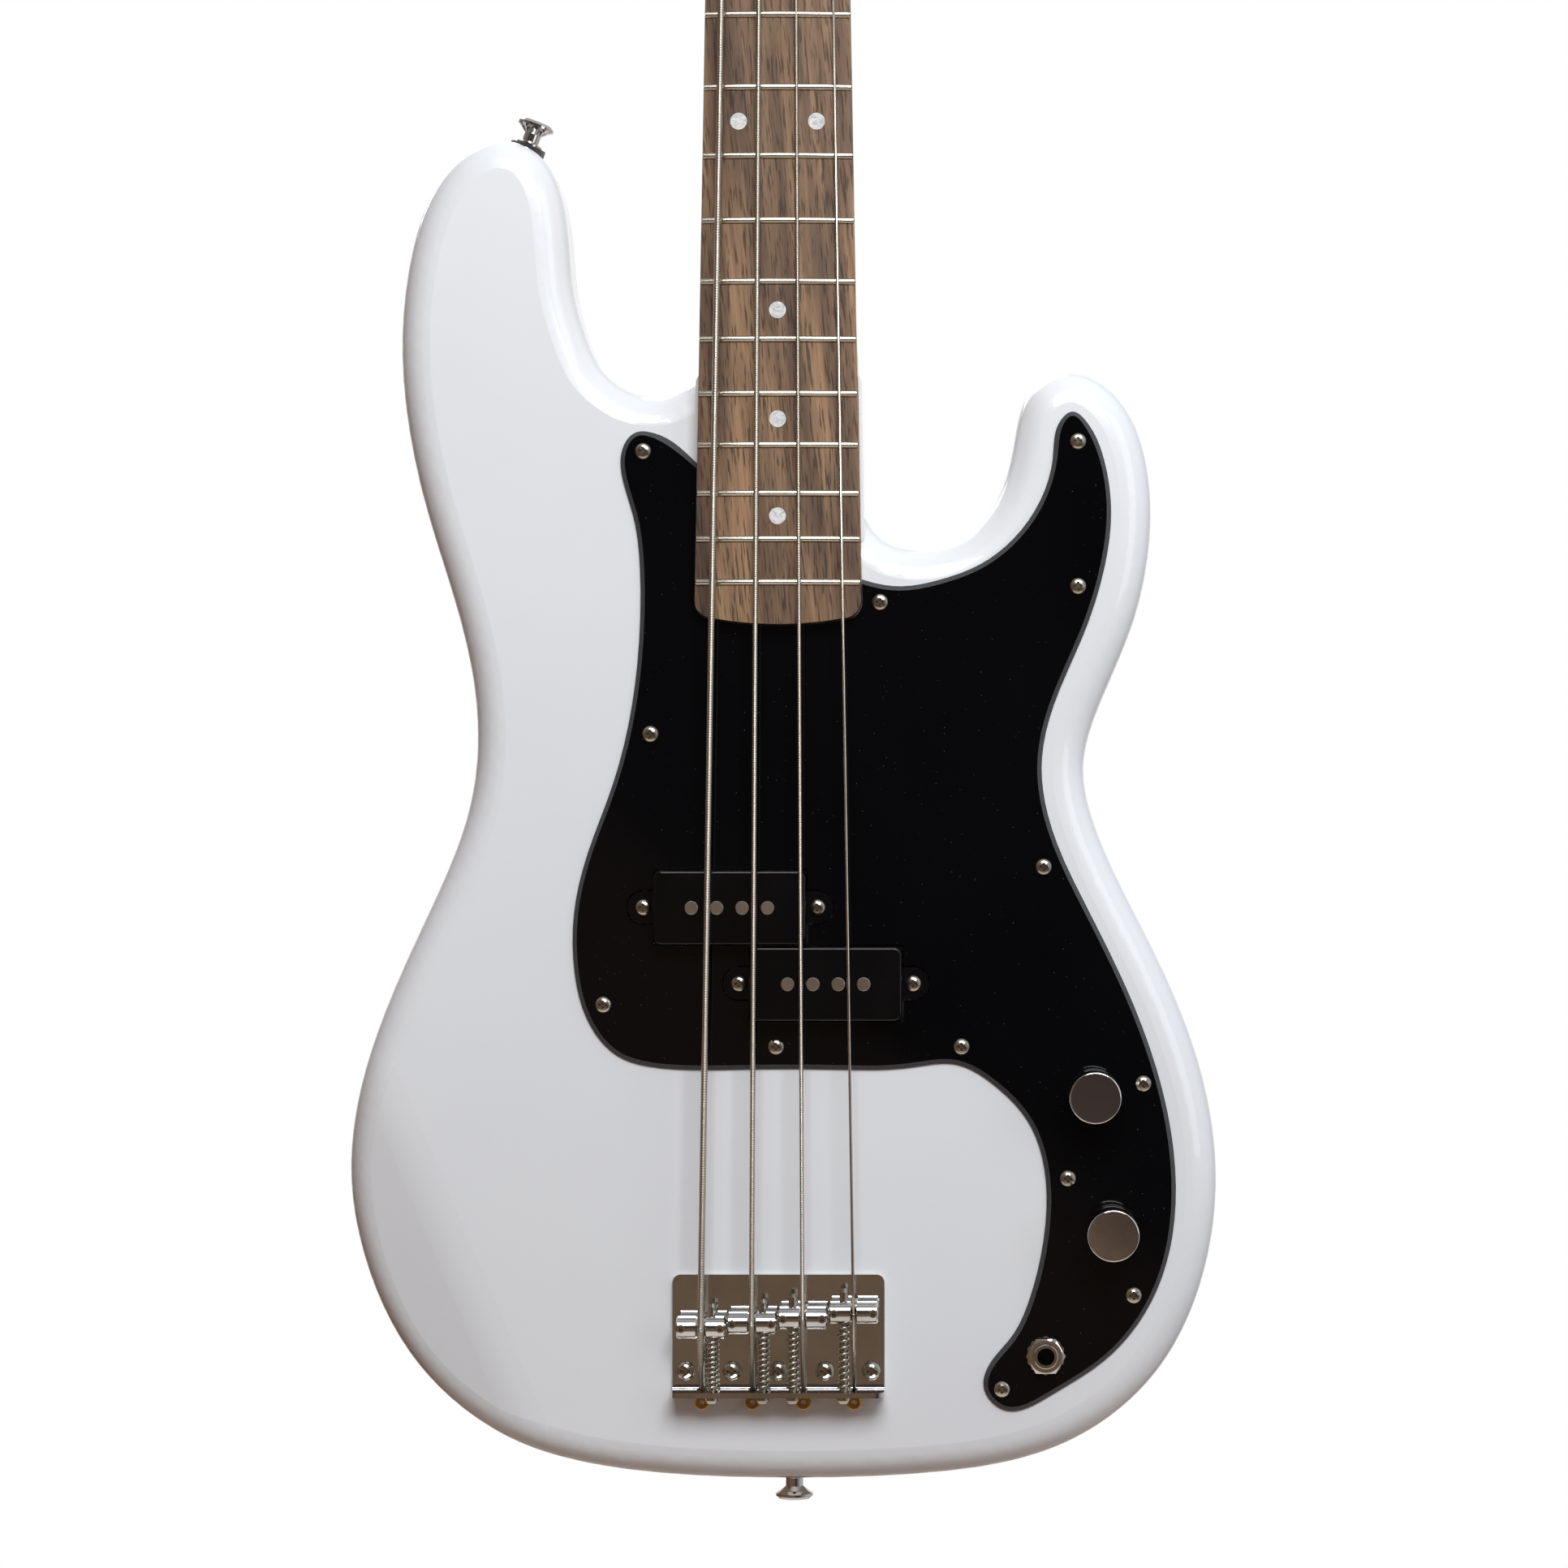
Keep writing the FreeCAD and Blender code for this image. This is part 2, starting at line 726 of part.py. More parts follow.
def neck_outline(gap, top_z):
    """The neck seen from the front: tapered sides, rounded corners and a bowed end."""
    low_z = board_end_z - gap
    left_low = flat(-half_width(board_end_z) - gap, low_z)
    right_low = flat(half_width(board_end_z) + gap, low_z)
    left_top = flat(-half_width(top_z) - gap, top_z)
    right_top = flat(half_width(top_z) + gap, top_z)
    left_arc = corner_arc(left_top, left_low, right_low, d.fingerboard_corner_radius)
    right_arc = corner_arc(left_low, right_low, right_top, d.fingerboard_corner_radius)
    bow = flat(0, low_z - d.fingerboard_end_bow)
    return [
        Part.LineSegment(left_top, left_arc[0]),
        Part.Arc(*left_arc),
        Part.Arc(left_arc[2], bow, right_arc[0]),
        Part.Arc(*right_arc),
        Part.LineSegment(right_arc[2], right_top),
        Part.LineSegment(right_top, left_top),
    ]


def eared_outline(mid, grow):
    """A pickup half seen from the front: a block with a round ear at each end."""
    half_length = d.pickup_length / 2 + grow
    half_side = d.pickup_width / 2 + grow
    ear = d.pickup_ear_radius + grow
    tip = ear_span + ear
    ways = [(1, -1), (1, 1), (-1, 1), (-1, -1)]
    block = [flat(mid.x + sx * half_length, mid.y + sz * half_side) for sx, sz in ways]
    roots = [flat(mid.x + sx * half_length, mid.y + sz * ear) for sx, sz in ways]
    tops = [flat(mid.x + sx * ear_span, mid.y + sz * ear) for sx, sz in ways]
    return [
        Part.LineSegment(block[0], roots[0]),
        Part.LineSegment(roots[0], tops[0]),
        Part.Arc(tops[0], flat(mid.x + tip, mid.y), tops[1]),
        Part.LineSegment(tops[1], roots[1]),
        Part.LineSegment(roots[1], block[1]),
        Part.LineSegment(block[1], block[2]),
        Part.LineSegment(block[2], roots[2]),
        Part.LineSegment(roots[2], tops[2]),
        Part.Arc(tops[2], flat(mid.x - tip, mid.y), tops[3]),
        Part.LineSegment(tops[3], roots[3]),
        Part.LineSegment(roots[3], block[3]),
        Part.LineSegment(block[3], block[0]),
    ]


def holes(name, points, radius_rule, front, depth_rule):
    """Round holes from a front depth towards the back."""
    return [cylinder(name, radius_rule, depth_rule, toward_back(p.x, front, p.y)) for p in points]


# Body

def make_body():
    slab = new_body("body_slab")
    outline = scaled(BODY_OUTLINE_SHARES, d.body_width, bottom_z, d.body_length)
    knots = chord_knots(outline)
    wall = loop_curve(outline, knots)
    pad(slab, sketch(slab, [wall]), "sizes.body_thickness", backward=True)
    doc.recompute()
    contoured = cut("body_contoured", slab, [forearm_cut(), belly_cut()])
    rounded = round_rim(contoured, tightest_bend(wall, knots, d.body_width))
    whole = fuse("body_with_heel", [rounded, heel_block()])
    pocket_top_z = max(heel_top_z, bottom_z + d.body_length) + d.cut_overrun
    tools = [prism("neck_pocket", neck_outline(d.neck_clearance, pocket_top_z), -d.cut_overrun, d.pocket_depth)]
    for name, mid in pickups.items():
        outline = eared_outline(mid, d.pickup_cavity_margin)
        tools.append(prism("cavity_" + name, outline, -d.cut_overrun, d.pickup_cavity_depth))
    tools += control_cavity()
    through = "sizes.body_thickness + 2 * sizes.cut_overrun"
    tools += holes("neck_screw_hole", neck_screws, "sizes.neck_screw_shank / 2 + sizes.screw_clearance",
                   -d.cut_overrun, through)
    tools += holes("guard_screw_hole", guard_screws, "sizes.pickguard_screw_shank / 2 + sizes.screw_clearance",
                   -d.cut_overrun, "sizes.pickguard_screw_length + sizes.cut_overrun")
    tools += holes("bridge_screw_hole", bridge_screws, "sizes.bridge_screw_shank / 2 + sizes.screw_clearance",
                   -d.cut_overrun, "sizes.bridge_screw_length + sizes.cut_overrun")
    for mid in pickups.values():
        tools += holes("pickup_screw_hole", pickup_screw_points(mid),
                       "sizes.pickup_screw_shank / 2 + sizes.slide_clearance",
                       0, "sizes.pickup_screw_length + sizes.pickup_travel")
    for place in button_places():
        inward = Placement(Vector(0, 0, d.cut_overrun), Rotation(Vector(1, 0, 0), 180))
        tools.append(cylinder("button_screw_hole", "sizes.button_screw_shank / 2 + sizes.screw_clearance",
                              "sizes.button_screw_length + sizes.cut_overrun", place.multiply(inward)))
    keep("body", cut("body", whole, tools))


def round_rim(slab, bend):
    """Round the front and back rims, where the side wall meets the faces, by less than the wall's tightest bend."""
    rounded = doc.addObject("Part::Fillet", "body_rounded")
    rounded.Base = slab
    walls = [face for face in slab.Shape.Faces if face.Surface.TypeId == "Part::GeomSurfaceOfExtrusion"]
    rims = {edge.hashCode() for face in walls for edge in face.Edges if not edge.isSeam(face)}
    radius = min(d.body_edge_radius, bend * BODY_EDGE_SHARE)
    rounded.Edges = [
        (index, radius, radius) for index, edge in enumerate(slab.Shape.Edges, start=1)
        if edge.hashCode() in rims
    ]
    doc.recompute()
    return rounded


def forearm_cut():
    """A sloped plane at the lower bass side, blended into the face."""
    upper, lower = scaled(FOREARM_LINE_SHARES, d.body_width, bottom_z, d.body_length)
    start = Vector(upper.x, 0, upper.y)
    along = (lower - upper).normalize()
    run = Vector(along.x, 0, along.y)
    outward = Vector(run.z, 0, -run.x)
    slope = math.radians(d.forearm_slope)
    blend = d.forearm_blend_radius
    deep = Vector(0, 1, 0)

    def blended(turn):
        return start + outward * (blend * math.sin(turn)) + deep * (blend * (1 - math.cos(turn)))

    bend_end = blended(slope)
    far = bend_end + outward * d.forearm_reach + deep * (d.forearm_reach * math.tan(slope))
    over = deep * -d.cut_overrun
    top_far = Vector(far.x, 0, far.z) + over
    edges = [
        Part.Arc(start, blended(slope / 2), bend_end).toShape(),
        Part.LineSegment(bend_end, far).toShape(),
        Part.LineSegment(far, top_far).toShape(),
        Part.LineSegment(top_far, start + over).toShape(),
        Part.LineSegment(start + over, start).toShape(),
    ]
    shape = Part.Face(Part.Wire(edges)).extrude(run * d.body_length)
    shape.translate(run * (-d.body_length / 2))
    return solid("forearm_cut", shape)


def belly_cut():
    """A shallow round scoop in the back of the waist, deeper towards the edge."""
    x_share, z_share = BELLY_TOP_SHARES
    slope = math.radians(d.belly_slope)
    axis = Vector(-math.cos(slope), -math.sin(slope), 0)
    normal = Vector(-math.sin(slope), math.cos(slope), 0)
    top = Vector(x_share * d.body_width, d.body_thickness, bottom_z + z_share * d.body_length)
    start = top + normal * d.belly_radius - axis * d.body_width
    shape = Part.makeCylinder(d.belly_radius, d.body_width * 2, start, axis)
    return solid("belly_cut", shape)


def heel_block():
    """The body's own wood under and beside the neck's heel."""
    low_z = heel_top_z - d.heel_block_length
    points = [
        flat(-half_width(low_z) - d.heel_lip, low_z),
        flat(half_width(low_z) + d.heel_lip, low_z),
        flat(half_width(heel_top_z) + d.heel_lip, heel_top_z),
        flat(-half_width(heel_top_z) - d.heel_lip, heel_top_z),
    ]
    block = prism("heel_block", rounded_loop(points, d.heel_corner_radius), 0, d.body_thickness)
    rounded = doc.addObject("Part::Fillet", "heel_block_rounded")
    rounded.Base = block
    radius = d.heel_corner_radius * HEEL_EDGE_SHARE
    rounded.Edges = [
        (index, radius, radius) for index, edge in enumerate(block.Shape.Edges, start=1)
        if abs(edge.BoundBox.YMin - d.body_thickness) < d.fit_clearance
    ]
    doc.recompute()
    return rounded


def control_cavity():
    """Round bays under both potentiometers and the jack, slots between them and a wire channel."""
    tools = []
    depth = "sizes.control_cavity_depth + sizes.cut_overrun"
    for spot, radius in ((volume, "control"), (tone, "control"), (jack, "jack")):
        place = toward_back(spot.x, -d.cut_overrun, spot.z)
        tools.append(cylinder("control_bay", "sizes.%s_cavity_radius" % radius, depth, place))
    for start, end in ((volume, tone), (tone, jack)):
        way = (end - start).normalize()
        side = Vector(way.z, 0, -way.x) * d.jack_cavity_radius
        corners = [start + side, start - side, end - side, end + side]
        loop = closed([flat(p.x, p.z) for p in corners])
        tools.append(prism("control_slot", loop, -d.cut_overrun, d.control_cavity_depth))
    start = Vector(volume.x, d.channel_depth, volume.z)
    mid = pickups["treble"]
    end = Vector(mid.x + d.pickup_length / 2, d.channel_depth, mid.y)
    channel = Part.makeCylinder(d.channel_diameter / 2, (end - start).Length, start, end - start)
    tools.append(solid("wire_channel", channel))
    return tools


def button_places():
    """Seats of the two strap buttons: each placement's own Z axis points out of the body."""
    middle = d.body_thickness / 2
    end = Placement(Vector(d.end_button_x, middle, bottom_z), Rotation(Vector(1, 0, 0), 180))
    tilt = Rotation(Vector(0, 1, 0), d.horn_button_tilt)
    x_share, z_share = HORN_BUTTON_SHARES
    horn = Placement(Vector(x_share * d.body_width, middle, bottom_z + z_share * d.body_length), tilt)
    return [end, horn]


# Pickguard

def make_pickguard():
    guard = new_body("pickguard_plate")
    outline = scaled(PICKGUARD_OUTLINE_SHARES, d.pickguard_width, guard_low_z, d.pickguard_length)
    knots = chord_knots(outline)
    rim = loop_curve(outline, knots)
    edge = d.pickguard_thickness - d.pickguard_bevel
    pad(guard, sketch(guard, [rim]), "sizes.pickguard_thickness - sizes.pickguard_bevel")
    bevel = guard.newObject("PartDesign::AdditiveLoft", "bevel")
    bevel.Profile = sketch(guard, [rim], lift=edge)
    top = loop_curve(inset(rim, knots, d.pickguard_bevel), knots)
    bevel.Sections = [sketch(guard, [top], lift=d.pickguard_thickness)]
    bevel.Ruled = True
    doc.recompute()
    gap = d.pickguard_neck_gap
    back = d.cut_overrun
    front = guard_top - d.cut_overrun
    tools = [prism("guard_neck_cut", neck_outline(gap, heel_top_z), front, back)]
    for name, mid in pickups.items():
        tools.append(prism("guard_cut_" + name, eared_outline(mid, d.pickup_gap), front, back))
    depth = "sizes.pickguard_thickness + 2 * sizes.cut_overrun"
    tools += holes("guard_hole", guard_screws, "sizes.pickguard_screw_shank / 2 + sizes.screw_clearance",
                   front, depth)
    for spot, name in ((volume, "pot"), (tone, "pot"), (jack, "jack")):
        rule = "sizes.%s_bushing_diameter / 2 + sizes.screw_clearance" % name
        tools += holes("control_hole", [flat(spot.x, spot.z)], rule, front, depth)
    keep("pickguard", cut("pickguard", guard, tools))
    screw = wood_screw("guard_screw", d.pickguard_screw_head, d.pickguard_screw_dome,
                       d.pickguard_screw_shank, d.pickguard_screw_length)
    screw_group("pickguard_screws", screw, guard_screws, guard_top)


# Pickup halves

cover_top = guard_top - d.pickup_rise
cover_back = cover_top + d.pickup_height
ear_top = guard_top - d.pickup_ear_rise


def pole_points(mid):
    return [flat(mid.x + (step - 1.5) * d.pole_spacing, mid.y) for step in range(len(STRINGS))]


def make_pickup(name, mid):
    block = new_body("pickup_block_" + name)
    sides = rectangle(mid.x, mid.y, d.pickup_length, d.pickup_width)
    top_lift = -cover_top
    outline = sketch(block, rounded_loop(sides, d.pickup_corner_radius), lift=top_lift)
    pad(block, outline, "sizes.pickup_height", backward=True)
    doc.recompute()
    padded = block.Tip
    rim = ["Edge%d" % index for index, edge in enumerate(block.Shape.Edges, start=1)
           if edge.BoundBox.YMax < cover_top + d.fit_clearance]
    soft = block.newObject("PartDesign::Fillet", "soft_edge")
    soft.Base = (padded, rim)
    bind(soft, Radius="sizes.pickup_edge_radius")
    doc.recompute()
    ears = prism("pickup_ears_" + name, eared_outline(mid, 0), ear_top, ear_top + d.pickup_ear_thickness)
    whole = fuse("pickup_whole_" + name, [block, ears])
    inner_length = d.pickup_length - 2 * d.pickup_wall
    inner_width = d.pickup_width - 2 * d.pickup_wall
    inner_corner = d.pickup_corner_radius - d.pickup_wall
    inner = rounded_loop(rectangle(mid.x, mid.y, inner_length, inner_width), inner_corner)
    hollow = prism("pickup_hollow_" + name, inner, cover_top + d.pickup_wall, cover_back + d.cut_overrun)
    poles = pole_points(mid)
    tools = [hollow]
    tools += holes("pole_hole", poles, "sizes.pole_diameter / 2 + sizes.pole_clearance",
                   cover_top - d.cut_overrun, "sizes.pickup_height")
    tools += holes("ear_hole", pickup_screw_points(mid), "sizes.pickup_screw_shank / 2 + sizes.screw_clearance",
                   ear_top - d.cut_overrun, "sizes.pickup_ear_thickness + 2 * sizes.cut_overrun")
    keep("pickup_cover_" + name, cut("pickup_cover_" + name, whole, tools))
    make_coil(name, mid, inner_length, inner_width, poles)
    pole_front = cover_top - d.pole_proud
    pole_length = d.pole_proud + d.pickup_wall + d.coil_height
    rods = []
    for p in poles:
        rod = Part.makeCylinder(d.pole_diameter / 2, pole_length, Vector(p.x, pole_front, p.y), backward)
        rods.append(rod.makeChamfer(d.pole_proud / 2, [rod.Edges[0], rod.Edges[2]]))
    keep("pickup_poles_" + name, group("pickup_poles_" + name, rods))
    screw = wood_screw("pickup_screw_" + name, d.pickup_screw_head, d.pickup_screw_dome,
                       d.pickup_screw_shank, d.pickup_screw_length)
    screw_group("pickup_screws_" + name, screw, pickup_screw_points(mid), ear_top)


def make_coil(name, mid, inner_length, inner_width, poles):
    """A bobbin with two flanges and the wound coil between them, one block, pierced by the poles."""
    length = inner_length - 2 * d.coil_gap
    width = inner_width - 2 * d.coil_gap
    front = cover_top + d.pickup_wall
    back = front + d.coil_height
    step = 2 * d.coil_flange_step
    corner = d.pickup_corner_radius - d.pickup_wall
    flange = rounded_loop(rectangle(mid.x, mid.y, length, width), corner)
    wound = rounded_loop(rectangle(mid.x, mid.y, length - step, width - step), corner)
    layers = [
        prism("coil_flange", flange, front, front + d.coil_flange),
        prism("coil_winding", wound, front + d.coil_flange, back - d.coil_flange),
        prism("coil_flange", flange, back - d.coil_flange, back),
    ]
    whole = fuse("coil_whole_" + name, layers)
    tools = holes("coil_hole", poles, "sizes.pole_diameter / 2 + sizes.pole_clearance",
                  front - d.cut_overrun, "sizes.coil_height + 2 * sizes.cut_overrun")
    keep("pickup_coil_" + name, cut("pickup_coil_" + name, whole, tools))


def make_foam():
    """The foam pads that press both halves up from the floor of their cavities."""
    pads = []
    length = d.pickup_length - 2 * d.pickup_wall
    width = d.pickup_width - 2 * d.pickup_wall
    for mid in pickups.values():
        loop = rounded_loop(rectangle(mid.x, mid.y, length, width), d.pickup_corner_radius)
        pads.append(prism("foam_pad", loop, cover_back + d.slide_clearance, d.pickup_cavity_depth).Shape)
    keep("pickup_foam", group("pickup_foam", pads))


# Bridge

wall_outer_z = saddle_z - d.bridge_back
wall_inner_z = wall_outer_z + d.bridge_plate_thickness
plate_top = -d.bridge_plate_thickness
saddle_radius = d.saddle_diameter / 2
saddle_y = -(d.string_height_saddle - saddle_radius + d.saddle_groove)


def intonation_x(key):
    """The screw runs beside its string, on the side towards the middle."""
    side = 1 if bridge_x(key) < 0 else -1
    return bridge_x(key) + side * d.intonation_offset


def make_bridge():
    plate = new_body("bridge_bent_plate")
    front_z = saddle_z + d.bridge_front
    top_y = -d.bridge_wall_height
    inner_radius = d.bridge_bend_radius - d.bridge_plate_thickness
    inner = corner_arc(Vector(plate_top, front_z), Vector(plate_top, wall_inner_z),
                       Vector(top_y, wall_inner_z), inner_radius)
    outer = corner_arc(Vector(top_y, wall_outer_z), Vector(0, wall_outer_z), Vector(0, front_z),
                       d.bridge_bend_radius)
    curves = [
        Part.LineSegment(Vector(0, front_z), Vector(plate_top, front_z)),
        Part.LineSegment(Vector(plate_top, front_z), inner[0]),
        Part.Arc(*inner),
        Part.LineSegment(inner[2], Vector(top_y, wall_inner_z)),
        Part.LineSegment(Vector(top_y, wall_inner_z), Vector(top_y, wall_outer_z)),
        Part.LineSegment(Vector(top_y, wall_outer_z), outer[0]),
        Part.Arc(*outer),
        Part.LineSegment(outer[2], Vector(0, front_z)),
    ]
    pad(plate, sketch(plate, curves, role="YZ_Plane", lift=-d.bridge_width / 2), "sizes.bridge_width")
    doc.recompute()
    padded = plate.Tip
    corners = bridge_corner_edges(plate.Shape, front_z, top_y)
    soft = plate.newObject("PartDesign::Fillet", "soft_corners")
    soft.Base = (padded, corners)
    bind(soft, Radius="sizes.bridge_corner_radius")
    doc.recompute()
    tools = holes("bridge_hole", bridge_screws, "sizes.bridge_screw_shank / 2 + sizes.screw_clearance",
                  plate_top - d.cut_overrun, "sizes.bridge_plate_thickness + 2 * sizes.cut_overrun")
    for key in STRINGS:
        start = wall_outer_z - d.cut_overrun
        length = "sizes.bridge_plate_thickness + 2 * sizes.cut_overrun"
        tools.append(cylinder("wall_screw_hole", "sizes.intonation_diameter / 2 + sizes.fit_clearance", length,
                              at(intonation_x(key), saddle_y, start)))
        tools.append(cylinder("wall_string_hole", "sizes.string_diameter_%s / 2 + sizes.string_hole_gap" % key,
                              length, at(bridge_x(key), -d.ball_height, start)))
    keep("bridge_plate", cut("bridge_plate", plate, tools))
    screw = wood_screw("bridge_screw", d.bridge_screw_head, d.bridge_screw_dome,
                       d.bridge_screw_shank, d.bridge_screw_length)
    screw_group("bridge_screws", screw, bridge_screws, plate_top)


def bridge_corner_edges(shape, front_z, top_y):
    """Names of the upright edges at the plate's front corners and the wall's top corners."""
    names = []
    for index, edge in enumerate(shape.Edges, start=1):
        box = edge.BoundBox
        at_side = box.XLength < d.fit_clearance and abs(abs(box.XMin) - d.bridge_width / 2) < d.fit_clearance
        at_front = box.ZLength < d.fit_clearance and abs(box.ZMin - front_z) < d.fit_clearance
        at_top = box.YLength < d.fit_clearance and abs(box.YMin - top_y) < d.fit_clearance
        if at_side and (at_front or at_top):
            names.append("Edge%d" % index)
    return names


def make_saddle(key):
    """A grooved barrel on two height screws, with the intonation screw through it."""
    half = d.saddle_width / 2
    edge = d.saddle_edge
    floor = saddle_radius - d.saddle_groove
    lip = d.saddle_groove + string_diameter(key) / 2
    land = string_diameter(key) / 4
    profile = [
        (0, -half), (saddle_radius - edge, -half), (saddle_radius, -half + edge), (saddle_radius, -lip),
        (floor, -land), (floor, land), (saddle_radius, lip), (saddle_radius, half - edge),
        (saddle_radius - edge, half), (0, half),
    ]
    barrel = turned("saddle_barrel_" + key, profile)
    mid = Vector(bridge_x(key), saddle_y, saddle_place(key))
    barrel.Placement = Placement(mid, Rotation(Vector(0, 0, 1), -90))
    reach = "sizes.saddle_diameter + 2 * sizes.cut_overrun"
    out = saddle_radius + d.cut_overrun
    tools = [cylinder("saddle_screw_hole", "sizes.intonation_diameter / 2 + sizes.fit_clearance", reach,
                      at(intonation_x(key), saddle_y, mid.z - out))]
    screws = []
    top = saddle_y - saddle_radius - d.height_screw_proud
    for side in (-1, 1):
        x = mid.x + side * d.height_screw_offset
        tools.append(cylinder("saddle_height_hole", "sizes.height_screw_diameter / 2 + sizes.fit_clearance",
                              reach, toward_back(x, saddle_y - out, mid.z)))
        screw = Part.makeCylinder(d.height_screw_diameter / 2, plate_top - top, Vector(x, top, mid.z), backward)
        socket = Part.makeBox(d.height_screw_socket, d.height_screw_socket, d.height_screw_socket)
        socket.translate(Vector(x, top, mid.z) - Vector(1, 0, 1) * (d.height_screw_socket / 2))
        screws.append(screw.cut(socket))
    drilled = cut("saddle_drilled_" + key, barrel, tools)
    keep("saddle_" + key, group("saddle_" + key, [drilled.Shape] + screws))


def make_intonation_screw(key):
    """A machine screw along Z: a slotted head behind the wall, its tip in front of the saddle."""
    length = saddle_place(key) + d.intonation_tip - wall_outer_z
    head = d.intonation_head / 2
    shank = d.intonation_diameter / 2
    deep = d.intonation_head_length
    profile = [(0, -deep)]
    profile += [(head * wide_share, -deep * long_share) for wide_share, long_share in INTONATION_HEAD_SHARES]
    profile += [(head, 0), (shank, 0), (shank, length - shank)]
    profile += [(shank * INTONATION_TIP_SHARE, length), (0, length)]
    blank = turned("intonation_blank_" + key, profile)
    slot = doc.addObject("Part::Box", "intonation_slot_" + key)
    bind(slot, Length="sizes.intonation_head + 2 * sizes.cut_overrun",
         Width="sizes.intonation_slot + sizes.cut_overrun", Height="sizes.intonation_slot")
    slot.Placement = at(-head - d.cut_overrun, -deep - d.cut_overrun, -d.intonation_slot / 2)
    screw = cut("intonation_cut_" + key, blank, [slot])
    place = Placement(Vector(intonation_x(key), saddle_y, wall_outer_z), Rotation(Vector(1, 0, 0), 90))
    keep("intonation_screw_" + key, solid("intonation_screw_" + key, moved(screw.Shape, place)))


def spring_solid(key):
    """A coil spring round its screw, from the wall to the saddle."""
    radius = (d.spring_diameter - d.spring_wire) / 2
    start_z = wall_inner_z + d.spring_wire / 2 + d.fit_clearance
    end_z = saddle_place(key) - saddle_radius - d.spring_wire / 2 - d.slide_clearance
    steps = 4 * int(d.spring_turns)
    climb = (end_z - start_z) / steps
    lean = math.atan2(climb, radius * math.pi / 2)
    points = []
    ways = []
    for step in range(steps + 1):
        turn = step * math.pi / 2
        points.append(Vector(intonation_x(key) + radius * math.cos(turn), saddle_y + radius * math.sin(turn),
                             start_z + climb * step))
        ways.append(Vector(-math.sin(turn) * math.cos(lean), math.cos(turn) * math.cos(lean), math.sin(lean)))
    curves = []
    for step in range(steps):
        curves += biarc(points[step], ways[step], points[step + 1], ways[step + 1])
    print("spring %s: least gap to itself %.2f mm" % (key, least_gap(points, d.spring_wire, 3)))
    return tube(curves, d.spring_wire)


def make_springs():
    keep("intonation_springs", group("intonation_springs", [spring_solid(key) for key in STRINGS]))


def make_balls():
    """The ball ends that hold the strings behind the bridge's wall: short waisted rings."""
    radius = d.ball_diameter / 2
    hole = d.ball_hole_diameter / 2
    half = d.ball_length / 2
    side = [(radius * radius_share, half * length_share) for radius_share, length_share in BALL_SHARES]
    other = [(reach, -along) for reach, along in reversed(side[:-1])]
    profile = [(hole, half)] + side + other + [(hole, -half)]
    ball = turned("ball_blank", profile)
    z = wall_outer_z - radius
    places = [at(bridge_x(key), -d.ball_height, z) for key in STRINGS]
    keep("ball_ends", group("ball_ends", [moved(ball.Shape, place) for place in places]))


# Controls

def make_knob(name):
    """A flat-topped knob with a hollow underside, on its potentiometer's shaft."""
    radius = d.knob_diameter / 2
    front = guard_top - d.knob_gap - d.knob_height
    back = front + d.knob_height
    bore = d.shaft_diameter / 2
    edge = d.knob_chamfer
    hollow = back - d.knob_hollow_depth
    shaft_back = pot_front
    profile = [
        (0, front), (radius - edge, front), (radius, front + edge), (radius, back - edge / 2),
        (radius - edge / 2, back), (d.knob_hollow_diameter / 2, back), (d.knob_hollow_diameter / 2, hollow),
        (bore, hollow), (bore, shaft_back), (0, shaft_back),
    ]
    knob = turned("knob_turned_" + name, profile)
    bind(knob, **{
        "Placement.Base.x": "sizes.%s_x" % name,
        "Placement.Base.z": "sizes.%s_z - sizes.scale_length" % name,
    })
    doc.recompute()
    keep("knob_" + name, knob)


pot_front = d.washer_thickness
bushing_front = guard_top - d.control_nut_height - d.washer_thickness


def make_potentiometers():
    """Two cans with bushings through the pickguard, three lugs each; the bore lets the shaft turn."""
    shapes = []
    bore = d.shaft_diameter / 2 + d.fit_clearance
    outer = d.pot_bushing_diameter / 2
    can = d.pot_diameter / 2
    step = d.washer_thickness
    profile = [
        (bore, bushing_front), (outer, bushing_front), (outer, 0), (can - step, 0), (can, step),
        (can, d.pot_height), (0, d.pot_height), (0, pot_front + d.fit_clearance),
        (bore, pot_front + d.fit_clearance),
    ]
    pot = turned("pot_turned", profile)
    for spot in (volume, tone):
        shapes.append(moved(pot.Shape, at(spot.x, 0, spot.z)))
        for lug in (-1, 0, 1):
            box = Part.makeBox(d.pot_lug_length + can / 2, d.pot_lug_thickness, d.pot_lug_thickness)
            box.translate(Vector(spot.x - can - d.pot_lug_length, d.pot_height - d.pot_lug_thickness,
                                 spot.z + lug * d.pot_lug_width / 2 - d.pot_lug_thickness / 2))
            shapes[-1] = shapes[-1].fuse(box)
    keep("potentiometers", group("potentiometers", shapes))


def hexagon(name, across, bore_radius, front, back):
    """A hexagon nut along Y round the origin."""
    radius = across / math.sqrt(3)
    turns = [math.pi * step / 3 for step in range(6)]
    corners = [flat(radius * math.cos(turn), radius * math.sin(turn)) for turn in turns]
    nut = prism(name, closed(corners), front, back)
    bore = solid(name + "_bore", Part.makeCylinder(bore_radius, back - front + 2 * d.cut_overrun,
                                                   Vector(0, front - d.cut_overrun, 0), Vector(0, 1, 0)))
    return cut(name + "_bored", nut, [bore])


def washer(name, radius, bore_radius, front, back):
    profile = [(bore_radius, front), (radius, front), (radius, back), (bore_radius, back)]
    return turned(name, profile)


